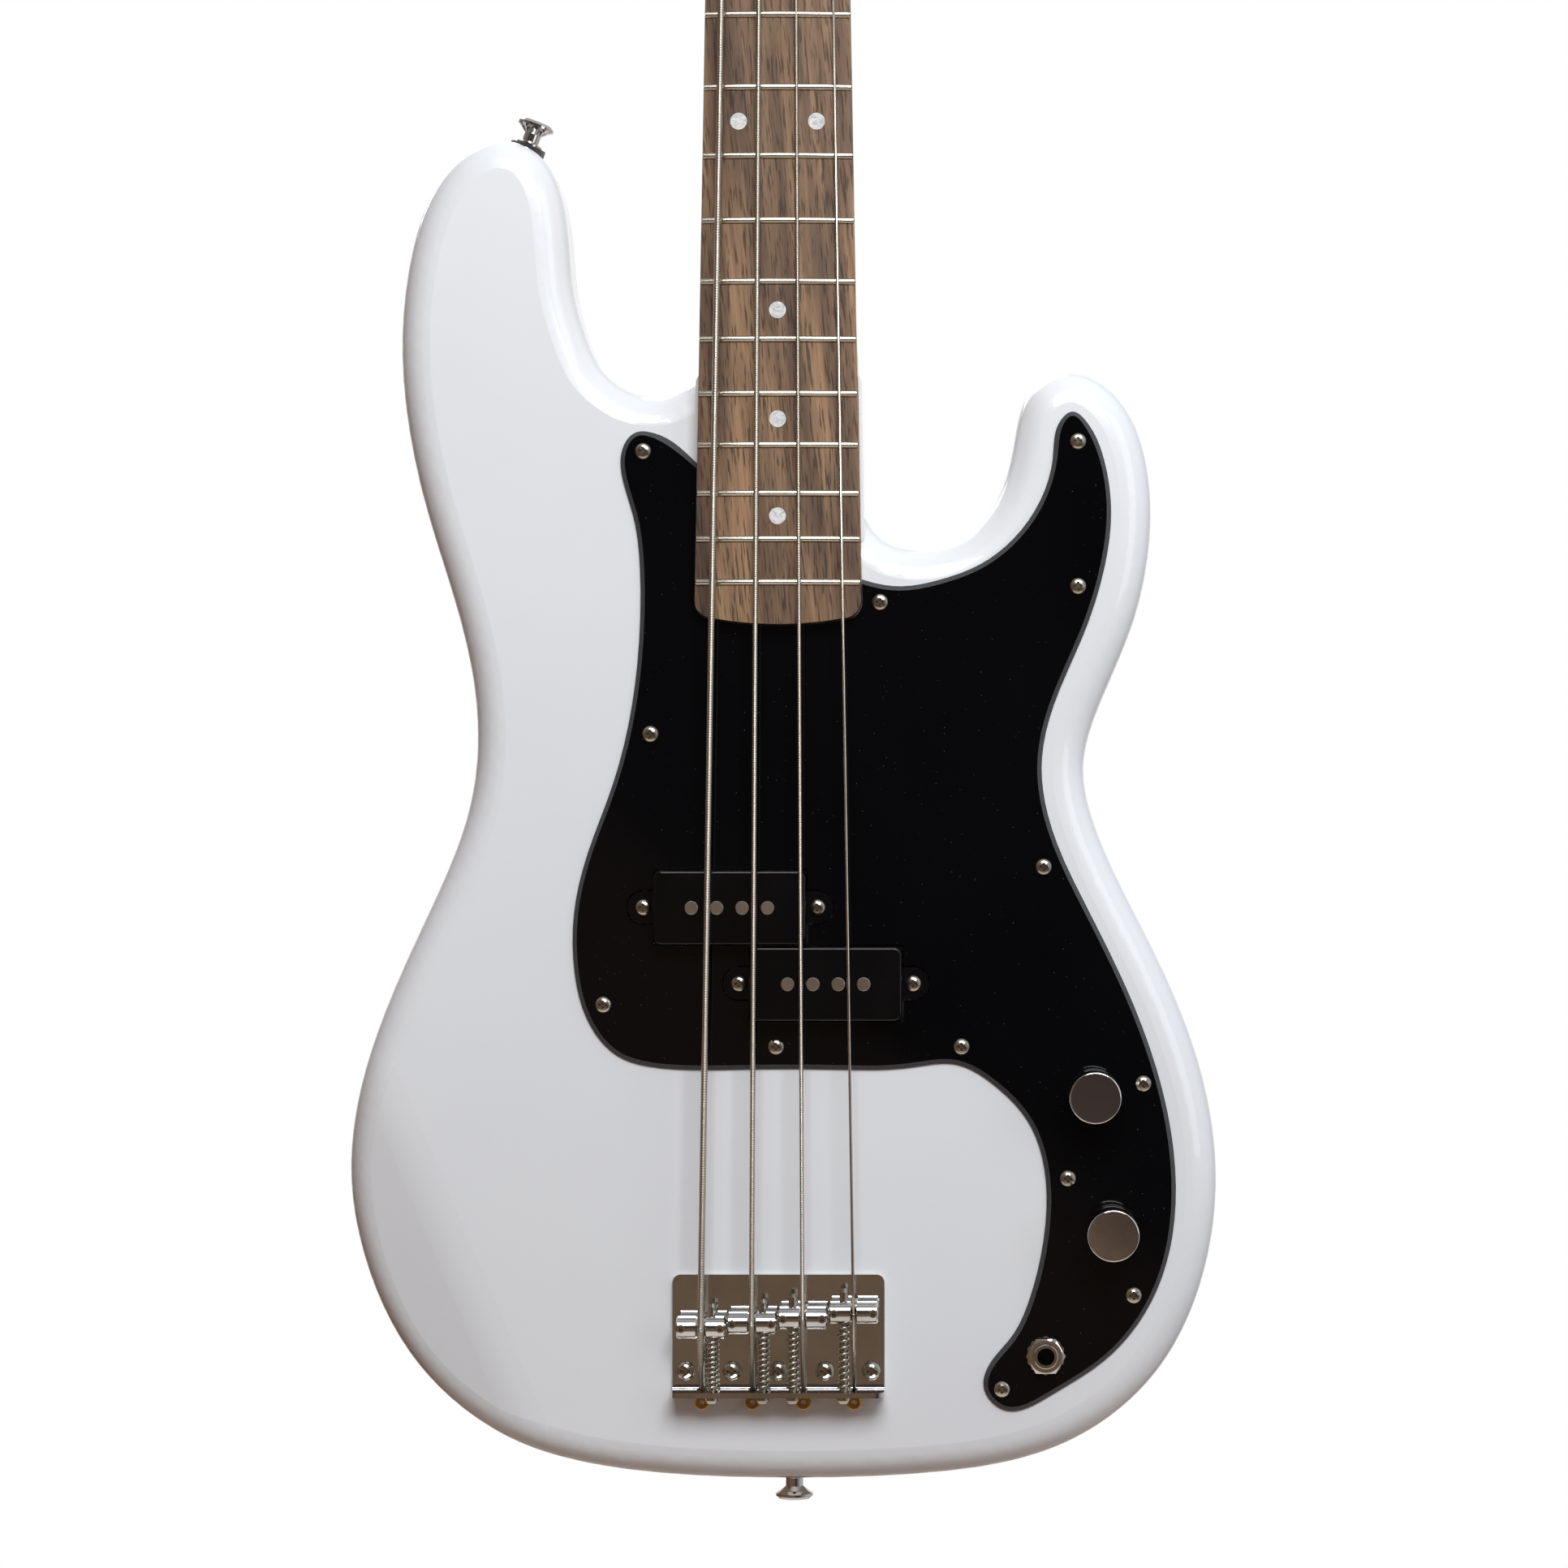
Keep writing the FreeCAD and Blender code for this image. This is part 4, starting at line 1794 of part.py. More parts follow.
def make_tree():
    """A round string tree: a disc on a stem, with its screw in the headstock."""
    mid = tree_mid()
    back = tree_back
    disc = d.tree_diameter / 2
    stem = d.tree_stem_diameter / 2
    shank = d.tree_screw_shank / 2
    front = back - d.tree_thickness
    edge = d.tree_thickness / 4
    tip = headstock_front + d.tree_screw_depth
    profile = [
        (0, front - edge), (disc / 2, front), (disc - edge, front + edge), (disc, front + 2 * edge),
        (disc, back - edge), (disc - edge, back), (stem, back), (stem, headstock_front),
        (shank, headstock_front), (shank, tip - shank), (0, tip),
    ]
    tree = turned("tree_turned", profile)
    keep("string_tree", solid("string_tree", moved(tree.Shape, at(mid.x, 0, mid.y))))


tree_back = headstock_front - d.tree_gap - d.string_diameter_d - 2 * d.string_clearance


# Strings

def tangent_way(point, centre, radius, turn_sign):
    """Direction from a point that just touches a circle, in the plane of depth and height."""
    to_centre = centre - point
    swing = turn_sign * math.asin(radius / to_centre.Length)
    cos = math.cos(swing)
    sin = math.sin(swing)
    return Vector(to_centre.x * cos - to_centre.y * sin, to_centre.x * sin + to_centre.y * cos, 0).normalize()


def saddle_corner(key, wall, nut):
    """Where the string's two straight runs would meet above its saddle's groove."""
    centre = Vector(saddle_place(key), saddle_y, 0)
    radius = saddle_bend(key)
    first = Vector(wall.z, wall.y, 0)
    last = Vector(nut.z, nut.y, 0)
    up = tangent_way(first, centre, radius, -1)
    down = tangent_way(last, centre, radius, 1)
    across = last - first
    reach = (across.x * down.y - across.y * down.x) / (up.x * down.y - up.y * down.x)
    meet = first + up * reach
    return Vector(bridge_x(key), meet.y, meet.x)


def saddle_bend(key):
    return saddle_radius - d.saddle_groove + string_diameter(key) / 2 + d.fit_clearance


def string_path(key):
    """Corners of a string's path with their bend radii, from the bridge's wall to its post."""
    radius = string_diameter(key) / 2
    start, way = string_line(key)
    wall = Vector(bridge_x(key), -d.ball_height, (wall_outer_z + wall_inner_z) / 2)
    nut = Vector(start.x, -d.string_height_nut - radius, start.y)
    corners = [(wall, 0), (saddle_corner(key, wall, nut), saddle_bend(key)), (nut, d.string_bend_radius)]
    if key in ("d", "g"):
        for side in (-1, 1):
            z = d.tree_place + side * d.tree_diameter / 2
            spot = start + way * ((z - start.y) / way.y)
            under = Vector(spot.x, tree_back + d.string_clearance + radius, spot.y)
            corners.append((under, d.string_bend_radius))
    touch = post_touch(key)
    corners.append((Vector(touch.x, headstock_front - d.string_post_height, touch.y), 0))
    return corners


def string_solid(key):
    diameter = string_diameter(key)
    corners = string_path(key)
    points = [corner for corner, bend in corners]
    curves = []
    here = points[0]
    for i in range(1, len(corners) - 1):
        arc = corner_arc(points[i - 1], points[i], points[i + 1], corners[i][1])
        curves.append(Part.LineSegment(here, arc[0]))
        curves.append(Part.Arc(*arc))
        here = arc[2]
    curves.append(Part.LineSegment(here, points[-1]))
    curves += wrap_curves(key, points[-1], (points[-1] - points[-2]).normalize())
    return tube(curves, diameter)


def wrap_curves(key, touch, arrival):
    """Turns round the post, climbing towards the front, and a short straight end."""
    diameter = string_diameter(key)
    radius = wrap_radius(key)
    mid = post_mid(key)
    steps = int(4 * d.string_turns)
    climb = (diameter + d.string_turn_gap) / 4
    lean = math.atan2(climb, radius * math.pi / 2)
    first = math.atan2(touch.z - mid.y, touch.x - mid.x)
    points = []
    ways = []
    for step in range(steps + 1):
        turn = first + step * math.pi / 2
        points.append(Vector(mid.x + radius * math.cos(turn), touch.y - climb * step,
                             mid.y + radius * math.sin(turn)))
        ways.append(Vector(-math.sin(turn) * math.cos(lean), -math.sin(lean), math.cos(turn) * math.cos(lean)))
    ways[0] = arrival
    curves = []
    for step in range(steps):
        curves += biarc(points[step], ways[step], points[step + 1], ways[step + 1])
    fine = []
    for curve in curves:
        shape = curve.toShape()
        fine += shape.discretize(Number=5)[:-1]
    print("string %s: least gap to itself %.2f mm" % (key, least_gap(fine, diameter, 16)))
    curves.append(Part.LineSegment(points[-1], points[-1] + ways[-1] * diameter))
    return curves


def make_strings():
    for key in STRINGS:
        keep("string_" + key, solid("string_" + key, string_solid(key)))


make_body()
make_pickguard()
for pickup_name, pickup_mid in pickups.items():
    make_pickup(pickup_name, pickup_mid)
make_foam()
make_bridge()
for string_key in STRINGS:
    make_saddle(string_key)
    make_intonation_screw(string_key)
make_springs()
make_balls()
make_knob("volume")
make_knob("tone")
make_potentiometers()
make_control_nuts()
make_jack()
make_wiring()
make_buttons()
make_fingerboard()
make_frets()
make_nut()
make_neck()
make_neck_plate()
make_tuners()
make_tree()
make_strings()

# Check every object, then write the sub-parts

doc.recompute()
for item in doc.Objects:
    if "Invalid" in item.State or "Error" in item.State:
        raise ValueError("%s is in error" % item.Label)
for label, item in pieces.items():
    if item.Shape.isNull() or not item.Shape.isValid():
        raise ValueError("%s has no valid shape" % label)
os.makedirs("parts", exist_ok=True)
for label, item in pieces.items():
    item.Shape.exportStep("parts/%s.step" % label)
print("%d sub-parts written" % len(pieces))
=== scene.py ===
import math

import bmesh
import bpy
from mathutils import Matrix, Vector, noise


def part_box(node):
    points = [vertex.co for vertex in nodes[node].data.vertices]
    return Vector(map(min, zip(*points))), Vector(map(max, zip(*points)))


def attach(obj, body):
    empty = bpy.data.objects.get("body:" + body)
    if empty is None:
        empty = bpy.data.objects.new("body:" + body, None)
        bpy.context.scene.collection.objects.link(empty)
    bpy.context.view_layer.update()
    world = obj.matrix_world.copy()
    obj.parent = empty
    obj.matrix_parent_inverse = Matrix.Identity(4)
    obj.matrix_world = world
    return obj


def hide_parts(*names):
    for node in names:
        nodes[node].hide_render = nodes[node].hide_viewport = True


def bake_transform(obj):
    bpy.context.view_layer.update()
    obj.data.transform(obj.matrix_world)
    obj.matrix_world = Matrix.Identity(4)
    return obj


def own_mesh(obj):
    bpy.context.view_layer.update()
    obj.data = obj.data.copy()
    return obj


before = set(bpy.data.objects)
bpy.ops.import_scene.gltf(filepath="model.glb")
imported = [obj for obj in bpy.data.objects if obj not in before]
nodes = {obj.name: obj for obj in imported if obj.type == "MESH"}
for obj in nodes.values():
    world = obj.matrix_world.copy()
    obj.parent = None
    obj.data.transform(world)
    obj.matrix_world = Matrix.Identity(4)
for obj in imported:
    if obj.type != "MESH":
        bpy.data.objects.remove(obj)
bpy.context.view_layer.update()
scene = bpy.context.scene
scene.view_settings.view_transform = "Standard"

# Camera: level, 1.5 m in front of the body's face, with the picture shifted to the left

camera_data = bpy.data.cameras.new("camera")
camera_data.sensor_width = 36.0
camera_data.lens = 91.36
camera_data.shift_x = -0.1159
camera_data.shift_y = 0.0047
camera = bpy.data.objects.new("camera", camera_data)
camera.location = (0.0705, -1.5, -0.6701)
camera.rotation_euler = (math.pi / 2, 0, 0)
scene.collection.objects.link(camera)
scene.camera = camera


# Node helpers

class Graph:
    """A material's or world's node tree, with short calls to add and join nodes."""

    def __init__(self, tree):
        self.tree = tree

    def add(self, kind, sockets=None, **settings):
        item = self.tree.nodes.new(kind)
        for key, value in settings.items():
            setattr(item, key, value)
        for key, value in (sockets or {}).items():
            self.set(item.inputs[key], value)
        return item

    def set(self, socket, value):
        if isinstance(value, bpy.types.NodeSocket):
            self.tree.links.new(value, socket)
        else:
            socket.default_value = value

    def coords(self, stretch=(1, 1, 1), lean=0.0):
        """Places on the object in its own frame, leaned to one side if asked, then stretched per axis."""
        place = self.add("ShaderNodeTexCoord").outputs["Object"]
        if lean:
            leaned = self.add("ShaderNodeMapping", {"Vector": place, "Rotation": (0, lean, 0)})
            place = leaned.outputs["Vector"]
        return self.add("ShaderNodeMapping", {"Vector": place, "Scale": stretch}).outputs["Vector"]

    def noise(self, scale, stretch=(1, 1, 1), detail=3.0, rough=0.5, warp=0.0, lean=0.0):
        item = self.add("ShaderNodeTexNoise", {"Vector": self.coords(stretch, lean), "Scale": scale,
                                               "Detail": detail, "Roughness": rough, "Distortion": warp})
        return item.outputs["Fac"]

    def remap(self, value, low, high, to_low=0.0, to_high=1.0):
        item = self.add("ShaderNodeMapRange", {"Value": value, "From Min": low, "From Max": high,
                                               "To Min": to_low, "To Max": to_high})
        return item.outputs["Result"]

    def mix(self, share, first, second, blend="MIX"):
        item = self.add("ShaderNodeMix", data_type="RGBA", blend_type=blend)
        self.set(item.inputs[0], share)
        self.set(item.inputs[6], first)
        self.set(item.inputs[7], second)
        return item.outputs[2]

    def math(self, kind, first, second=0.0):
        item = self.add("ShaderNodeMath", operation=kind)
        self.set(item.inputs[0], first)
        self.set(item.inputs[1], second)
        return item.outputs[0]

    def bump(self, height, strength, distance, normal=None):
        item = self.add("ShaderNodeBump", {"Height": height, "Strength": strength, "Distance": distance})
        if normal is not None:
            self.set(item.inputs["Normal"], normal)
        return item.outputs["Normal"]


def rgb(red, green, blue):
    """A colour given in screen values from 0 to 255, as linear light."""
    def linear(value):
        value /= 255
        return value / 12.92 if value <= 0.04045 else ((value + 0.055) / 1.055) ** 2.4
    return (linear(red), linear(green), linear(blue), 1.0)


def principled(name, **sockets):
    """A new material: its graph and its main shader, with the given sockets set."""
    material = bpy.data.materials.new(name)
    material.use_nodes = True
    shader = material.node_tree.nodes["Principled BSDF"]
    graph = Graph(material.node_tree)
    for key, value in sockets.items():
        shader.inputs[key.replace("_", " ")].default_value = value
    return material, graph, shader


# Materials

def white_paint():
    """Gloss white under a clear coat, with the faint ripple of sprayed paint."""
    material, g, s = principled("white_paint", Roughness=0.32, Coat_Weight=1.0, Coat_Roughness=0.03,
                                Coat_IOR=1.5)
    cloud = g.noise(9.0, detail=4.0)
    g.set(s.inputs["Base Color"], g.mix(g.remap(cloud, 0.3, 0.7), rgb(233, 235, 239), rgb(237, 239, 242)))
    peel = g.noise(420.0, detail=2.0)
    g.set(s.inputs["Normal"], g.bump(peel, 0.03, 0.0004))
    return material


def black_guard():
    """Gloss black plastic with a matte grey bevel where the face turns away from the front."""
    material, g, s = principled("black_guard", Specular_IOR_Level=0.35, Coat_Weight=0.0)
    normal = g.add("ShaderNodeNewGeometry").outputs["Normal"]
    facing = g.math("ABSOLUTE", g.add("ShaderNodeSeparateXYZ", {"Vector": normal}).outputs["Y"])
    flat = g.remap(facing, 0.90, 0.96)
    specks = g.remap(g.noise(900.0, detail=1.0), 0.765, 0.79)
    haze = g.remap(g.noise(14.0, detail=5.0), 0.35, 0.75)
    face = g.mix(haze, rgb(3, 4, 6), rgb(6, 7, 9))
    face = g.mix(specks, face, rgb(60, 62, 66))
    edge = g.mix(g.remap(g.noise(1500.0), 0.3, 0.7), rgb(58, 58, 61), rgb(72, 72, 75))
    g.set(s.inputs["Base Color"], g.mix(flat, edge, face))
    smooth = g.remap(g.noise(55.0, detail=6.0), 0.3, 0.75, 0.035, 0.075)
    g.set(s.inputs["Roughness"], g.remap(flat, 0, 1, 0.45, smooth))
    scuffs = g.noise(260.0, stretch=(1, 1, 0.12), detail=4.0)
    g.set(s.inputs["Normal"], g.bump(scuffs, 0.012, 0.0003))
    return material


def black_plastic():
    material, g, s = principled("black_plastic", Specular_IOR_Level=0.35)
    mottled = g.noise(60.0, detail=5.0)
    g.set(s.inputs["Base Color"], g.mix(mottled, rgb(4, 4, 5), rgb(9, 9, 11)))
    g.set(s.inputs["Roughness"], g.remap(mottled, 0.3, 0.7, 0.10, 0.18))
    g.set(s.inputs["Normal"], g.bump(g.noise(1800.0, detail=2.0), 0.05, 0.0002))
    return material


def metal(name, colour, dark, low, high, smudge=45.0, brushed=None, reach=0.0012, recess_shade_strength=0.75):
    """Plated metal: uneven polish, painted shade in its recesses, and fine lines where it is brushed."""
    material, g, s = principled(name, Metallic=1.0)
    marks = g.noise(smudge, detail=6.0, rough=0.6)
    metal_tone = g.mix(g.remap(marks, 0.35, 0.7), colour, dark)
    # painted shade: an occlusion mask darkens the metal toward brown-black in recesses and between parts
    opened = g.add("ShaderNodeAmbientOcclusion", {"Distance": reach}, samples=8).outputs["AO"]
    painted_recess_shade = g.remap(opened, 0.25, 0.8, recess_shade_strength, 0.0)
    g.set(s.inputs["Base Color"], g.mix(painted_recess_shade, metal_tone, rgb(34, 29, 25)))
    g.set(s.inputs["Roughness"], g.remap(marks, 0.3, 0.72, low, high))
    if brushed is not None:
        lines = g.noise(700.0, stretch=brushed, detail=3.0)
        g.set(s.inputs["Normal"], g.bump(lines, 0.08, 0.0002))
    else:
        ripple = g.noise(90.0, detail=2.0)
        g.set(s.inputs["Normal"], g.bump(ripple, 0.015, 0.0006))
    return material


def wound_steel(name, pitch):
    """Round-wound string: rings of bright wire with painted shade in the dark lines between, closer than a
    millimetre.
    """
    material, g, s = principled(name, Metallic=1.0, Roughness=0.30)
    along = g.add("ShaderNodeSeparateXYZ", {"Vector": g.coords()}).outputs["Z"]
    turn = g.math("MULTIPLY", along, 2 * math.pi / pitch)
    ring = g.remap(g.math("SINE", turn), -1, 1)
    tarnish = g.noise(120.0, detail=4.0)
    bright = g.mix(tarnish, rgb(226, 218, 204), rgb(190, 180, 164))
    # painted shade: the dark lines in the gaps between the rings of wire
    g.set(s.inputs["Base Color"], g.mix(g.remap(ring, 0.0, 0.45), rgb(104, 96, 84), bright))
    g.set(s.inputs["Normal"], g.bump(ring, 0.6, 0.00010))
    return material


GRAIN_LEAN = math.radians(5)


def board_wood():
    """Open-grained brown wood: long streaks, fine dark pores and pale lines along the neck."""
    material, g, s = principled("board_wood", Specular_IOR_Level=0.3)
    streak = g.noise(30.0, stretch=(4.0, 4.0, 0.22), detail=7.0, rough=0.62, warp=0.3, lean=GRAIN_LEAN)
    fine = g.noise(150.0, stretch=(4.5, 4.5, 0.16), detail=5.0, rough=0.7, lean=GRAIN_LEAN)
    pores = g.remap(g.noise(430.0, stretch=(3.0, 3.0, 0.22), detail=2.0, lean=GRAIN_LEAN), 0.54, 0.64)
    bands = g.noise(20.0, stretch=(3.6, 1.0, 0.30), detail=3.0, warp=0.5, lean=GRAIN_LEAN)
    tone = g.mix(g.remap(streak, 0.36, 0.64), rgb(92, 69, 52), rgb(172, 136, 103))
    tone = g.mix(g.remap(fine, 0.38, 0.62, 0.0, 0.55), tone, rgb(112, 85, 64))
    tone = g.mix(g.remap(bands, 0.44, 0.66, 0.0, 0.7), tone, rgb(66, 51, 43))
    g.set(s.inputs["Base Color"], g.mix(g.math("MULTIPLY", pores, 0.75), tone, rgb(48, 36, 29)))
    g.set(s.inputs["Roughness"], g.remap(fine, 0.3, 0.7, 0.42, 0.62))
    first = g.bump(pores, 0.35, 0.00025)
    g.set(s.inputs["Normal"], g.bump(fine, 0.10, 0.0002, first))
    return material


def maple():
    material, g, s = principled("maple", Specular_IOR_Level=0.45, Coat_Weight=0.35, Coat_Roughness=0.18)
    grain = g.noise(34.0, stretch=(2.4, 2.4, 0.10), detail=6.0, rough=0.55, warp=0.5)
    flame = g.noise(16.0, stretch=(1.0, 1.0, 2.6), detail=2.0, warp=0.8)
    tone = g.mix(g.remap(grain, 0.34, 0.66), rgb(206, 164, 108), rgb(226, 188, 134))
    tone = g.mix(g.remap(flame, 0.4, 0.6, 0.0, 0.28), tone, rgb(196, 150, 96))
    pores = g.remap(g.noise(300.0, stretch=(2.5, 2.5, 0.08), detail=2.0), 0.64, 0.72)
    g.set(s.inputs["Base Color"], g.mix(g.math("MULTIPLY", pores, 0.4), tone, rgb(150, 108, 66)))
    g.set(s.inputs["Roughness"], g.remap(grain, 0.3, 0.7, 0.30, 0.42))
    g.set(s.inputs["Normal"], g.bump(grain, 0.04, 0.0003))
    return material


def pearl():
    material, g, s = principled("pearl", Roughness=0.14, Coat_Weight=0.6, Coat_Roughness=0.05)
    swirl = g.noise(210.0, stretch=(1, 1, 1.6), detail=3.0, warp=2.6)
    tone = g.mix(g.remap(swirl, 0.35, 0.65), rgb(240, 240, 236), rgb(188, 190, 194))
    tint = g.noise(130.0, detail=1.0, warp=1.2)
    g.set(s.inputs["Base Color"], g.mix(g.remap(tint, 0.45, 0.7, 0.0, 0.35), tone, rgb(222, 210, 214)))
    return material


def plain(name, first, second, scale, low, high, bump=0.05, depth=0.0002, **sockets):
    """A simple mottled surface: two close colours, uneven polish and a fine grain."""
    material, g, s = principled(name, **sockets)
    mottled = g.noise(scale, detail=5.0)
    g.set(s.inputs["Base Color"], g.mix(g.remap(mottled, 0.3, 0.7), first, second))
    g.set(s.inputs["Roughness"], g.remap(mottled, 0.3, 0.7, low, high))
    g.set(s.inputs["Normal"], g.bump(g.noise(scale * 12, detail=2.0), bump, depth))
    return material


def felt():
    material, g, s = principled("felt", Roughness=0.95, Sheen_Weight=0.5)
    fibre = g.noise(2600.0, stretch=(1, 1, 0.3), detail=4.0, warp=1.0)
    g.set(s.inputs["Base Color"], g.mix(fibre, rgb(14, 14, 15), rgb(46, 46, 48)))
    g.set(s.inputs["Normal"], g.bump(fibre, 0.7, 0.0004))
    return material


CHROME = metal("chrome", rgb(226, 225, 224), rgb(206, 203, 200), 0.035, 0.10)
PLATE = metal("plate_chrome", rgb(216, 214, 211), rgb(206, 203, 199), 0.07, 0.12, smudge=150.0)
TUNER = metal("tuner_nickel", rgb(196, 190, 179), rgb(166, 159, 147), 0.10, 0.20, smudge=120.0)
NICKEL = metal("nickel", rgb(206, 200, 188), rgb(176, 168, 154), 0.12, 0.26)
FRET = metal("fret_nickel", rgb(222, 216, 202), rgb(198, 190, 174), 0.14, 0.24)
STEEL = metal("pole_steel", rgb(204, 190, 178), rgb(168, 152, 140), 0.24, 0.36)
PLAIN_STRING = metal("plain_string", rgb(222, 214, 202), rgb(184, 174, 160), 0.16, 0.26)
BRASS = metal("brass", rgb(216, 160, 62), rgb(180, 124, 40), 0.16, 0.32)
ZINC = metal("zinc", rgb(190, 190, 188), rgb(160, 160, 158), 0.26, 0.42)
COPPER = metal("copper_coil", rgb(150, 82, 48), rgb(112, 56, 30), 0.34, 0.5, brushed=(0.05, 1, 1))
STRING_KEYS = ("e", "a", "d", "g")
STRING_PITCH = {"e": 0.00060, "a": 0.00053, "d": 0.00046}

finish = {
    "body": white_paint(),
    "pickguard": black_guard(),
    "pickguard_screws": NICKEL,
    "pickup_foam": plain("foam", rgb(30, 30, 32), rgb(52, 52, 55), 300.0, 0.85, 0.98, 0.6, 0.0005),
    "neck": maple(),
    "fingerboard": board_wood(),
    "frets": FRET,
    "position_dots": pearl(),
    "nut": plain("bone", rgb(238, 232, 214), rgb(222, 212, 190), 60.0, 0.30, 0.44),
    "truss_rod": ZINC,
    "neck_plate": PLATE,
    "neck_screws": CHROME,
    "string_tree": CHROME,
    "tuner_plates": TUNER,
    "tuner_bushings": TUNER,
    "tuner_screws": TUNER,
    "bridge_plate": CHROME,
    "bridge_screws": NICKEL,
    "intonation_springs": NICKEL,
    "ball_ends": BRASS,
    "potentiometers": ZINC,
    "control_nuts": CHROME,
    "output_jack": NICKEL,
    "jack_nut": CHROME,
    "strap_buttons": CHROME,
    "strap_felt": felt(),
    "capacitor": plain("capacitor_skin", rgb(168, 84, 36), rgb(140, 66, 26), 40.0, 0.2, 0.34),
    "wiring": plain("wire_skin", rgb(226, 222, 208), rgb(204, 198, 182), 80.0, 0.5, 0.66),
    "knob_volume": CHROME,
    "knob_tone": CHROME,
}
BLACK = black_plastic()
for half in ("bass", "treble"):
    finish["pickup_cover_" + half] = BLACK
    finish["pickup_poles_" + half] = STEEL
    finish["pickup_coil_" + half] = COPPER
    finish["pickup_screws_" + half] = NICKEL
finish["string_g"] = PLAIN_STRING
for key, pitch in STRING_PITCH.items():
    finish["string_" + key] = wound_steel("wound_steel_" + key, pitch)
for key in STRING_KEYS:
    finish["saddle_" + key] = CHROME
    finish["intonation_screw_" + key] = NICKEL
    finish["tuner_post_" + key] = TUNER
    finish["tuner_key_" + key] = TUNER

for name, item in nodes.items():
    item.data.materials.clear()
    item.data.materials.append(finish[name])


# Pieces built here: knobs, the jack's nut, strings, springs, foam and felt

def new_piece(name, form, material, body):
    """A smooth-shaded piece from a bmesh, with its material and the body it rides, if any."""
    mesh = bpy.data.meshes.new(name)
    form.to_mesh(mesh)
    form.free()
    mesh.polygons.foreach_set("use_smooth", [True] * len(mesh.polygons))
    mesh.materials.append(material)
    piece = bpy.data.objects.new(name, mesh)
    scene.collection.objects.link(piece)
    if body:
        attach(piece, body)
    return piece


def revolve(form, profile, columns, centre, ripple):
    """Turns pairs of radius and height about a line to the front through centre, and closes both ends."""
    rings = []
    for radius, height in profile:
        ring = []
        for column in range(columns):
            angle = 2 * math.pi * column / columns
            reach = radius + ripple(angle, height)
            ring.append(form.verts.new((centre[0] + reach * math.cos(angle), -height,
                                        centre[1] + reach * math.sin(angle))))
        rings.append(ring)
    for lower, upper in zip(rings, rings[1:]):
        for column in range(columns):
            after = (column + 1) % columns
            form.faces.new((lower[column], lower[after], upper[after], upper[column]))
    form.faces.new(list(reversed(rings[0])))
    form.faces.new(rings[-1])


KNURL_COUNT = 84
KNURL_DEPTH = 0.00028
KNURL_ROWS = 44
KNURL_COLUMNS = KNURL_COUNT * 4
KNURL_START_SHARE = 0.10
KNURL_SLOPE = 1.6
KNOB_FOOT = 0.0042
KNOB_STEM_SHARE = 0.3
KNOB_FOOT_SHARES = ((0.93, 0.0), (0.985, 0.02), (1.0, 0.05))
KNOB_EDGE = 0.0006
KNOB_EDGE_STEPS = 6
KNOB_TOP_SHARES = (0.998, 0.99, 0.6, 0.1)


def wave(turns):
    """A saw-tooth that rises from 0 to 1 and falls back once per turn."""
    return 1 - abs(2 * (turns % 1.0) - 1)


def knob(name, body):
    """A barrel knob: diamond knurls on its side, a thin rounded edge and a flat top."""
    low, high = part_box(name)
    centre = ((low.x + high.x) / 2, (low.z + high.z) / 2)
    radius = (high.x - low.x) / 2
    stem = KNOB_STEM_SHARE * radius
    top = -low.y
    tall = top - KNOB_FOOT
    pitch = 2 * math.pi * radius / KNURL_COUNT
    band_low = KNOB_FOOT + KNURL_START_SHARE * tall
    band_high = top - 2 * KNOB_EDGE

    def knurl(angle, height):
        if not band_low < height < band_high:
            return 0.0
        turns = angle * KNURL_COUNT / (2 * math.pi)
        rise = (height - band_low) / (KNURL_SLOPE * pitch)
        return -KNURL_DEPTH * (1 - min(wave(turns + rise), wave(turns - rise)))

    profile = [(stem, -high.y), (stem, KNOB_FOOT)]
    profile += [(across * radius, KNOB_FOOT + up * tall) for across, up in KNOB_FOOT_SHARES]
    for row in range(KNURL_ROWS + 1):
        profile.append((radius, band_low + (band_high - band_low) * row / KNURL_ROWS))
    for step in range(KNOB_EDGE_STEPS + 1):
        turn = math.pi / 2 * step / KNOB_EDGE_STEPS
        profile.append((radius - KNOB_EDGE * (1 - math.cos(turn)), top - KNOB_EDGE * (1 - math.sin(turn))))
    flat_rim = radius - KNOB_EDGE
    profile += [(flat_rim * share, top) for share in KNOB_TOP_SHARES]
    form = bmesh.new()
    revolve(form, profile, KNURL_COLUMNS, centre, knurl)
    piece = new_piece(name + "_knurled", form, CHROME, body)
    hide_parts(name)


knob("knob_volume", "knob_volume")
knob("knob_tone", "knob_tone")


NUT_COLUMNS = 144
NUT_FLAT_SHARE = 0.8767
NUT_BORE_SHARE = 0.6507
NUT_LAND_SHARE = 0.95
NUT_SLOPE = 0.6
WASHER_DEPTH = 0.0006
WASHER_TEETH = 16
WASHER_TOOTH = 0.0005
SHARP_ANGLE = math.radians(25)


def ring_of(form, rows, centre):
    """A closed ring round a line to the front through centre: each row gives radius and height by angle."""
    rings = []
    for row in rows:
        ring = []
        for column in range(NUT_COLUMNS):
            angle = 2 * math.pi * column / NUT_COLUMNS
            radius, height = row(angle)
            ring.append(form.verts.new((centre[0] + radius * math.cos(angle), -height,
                                        centre[1] + radius * math.sin(angle))))
        rings.append(ring)
    for first, second in zip(rings, rings[1:] + rings[:1]):
        for column in range(NUT_COLUMNS):
            after = (column + 1) % NUT_COLUMNS
            form.faces.new((first[column], second[column], second[after], first[after]))


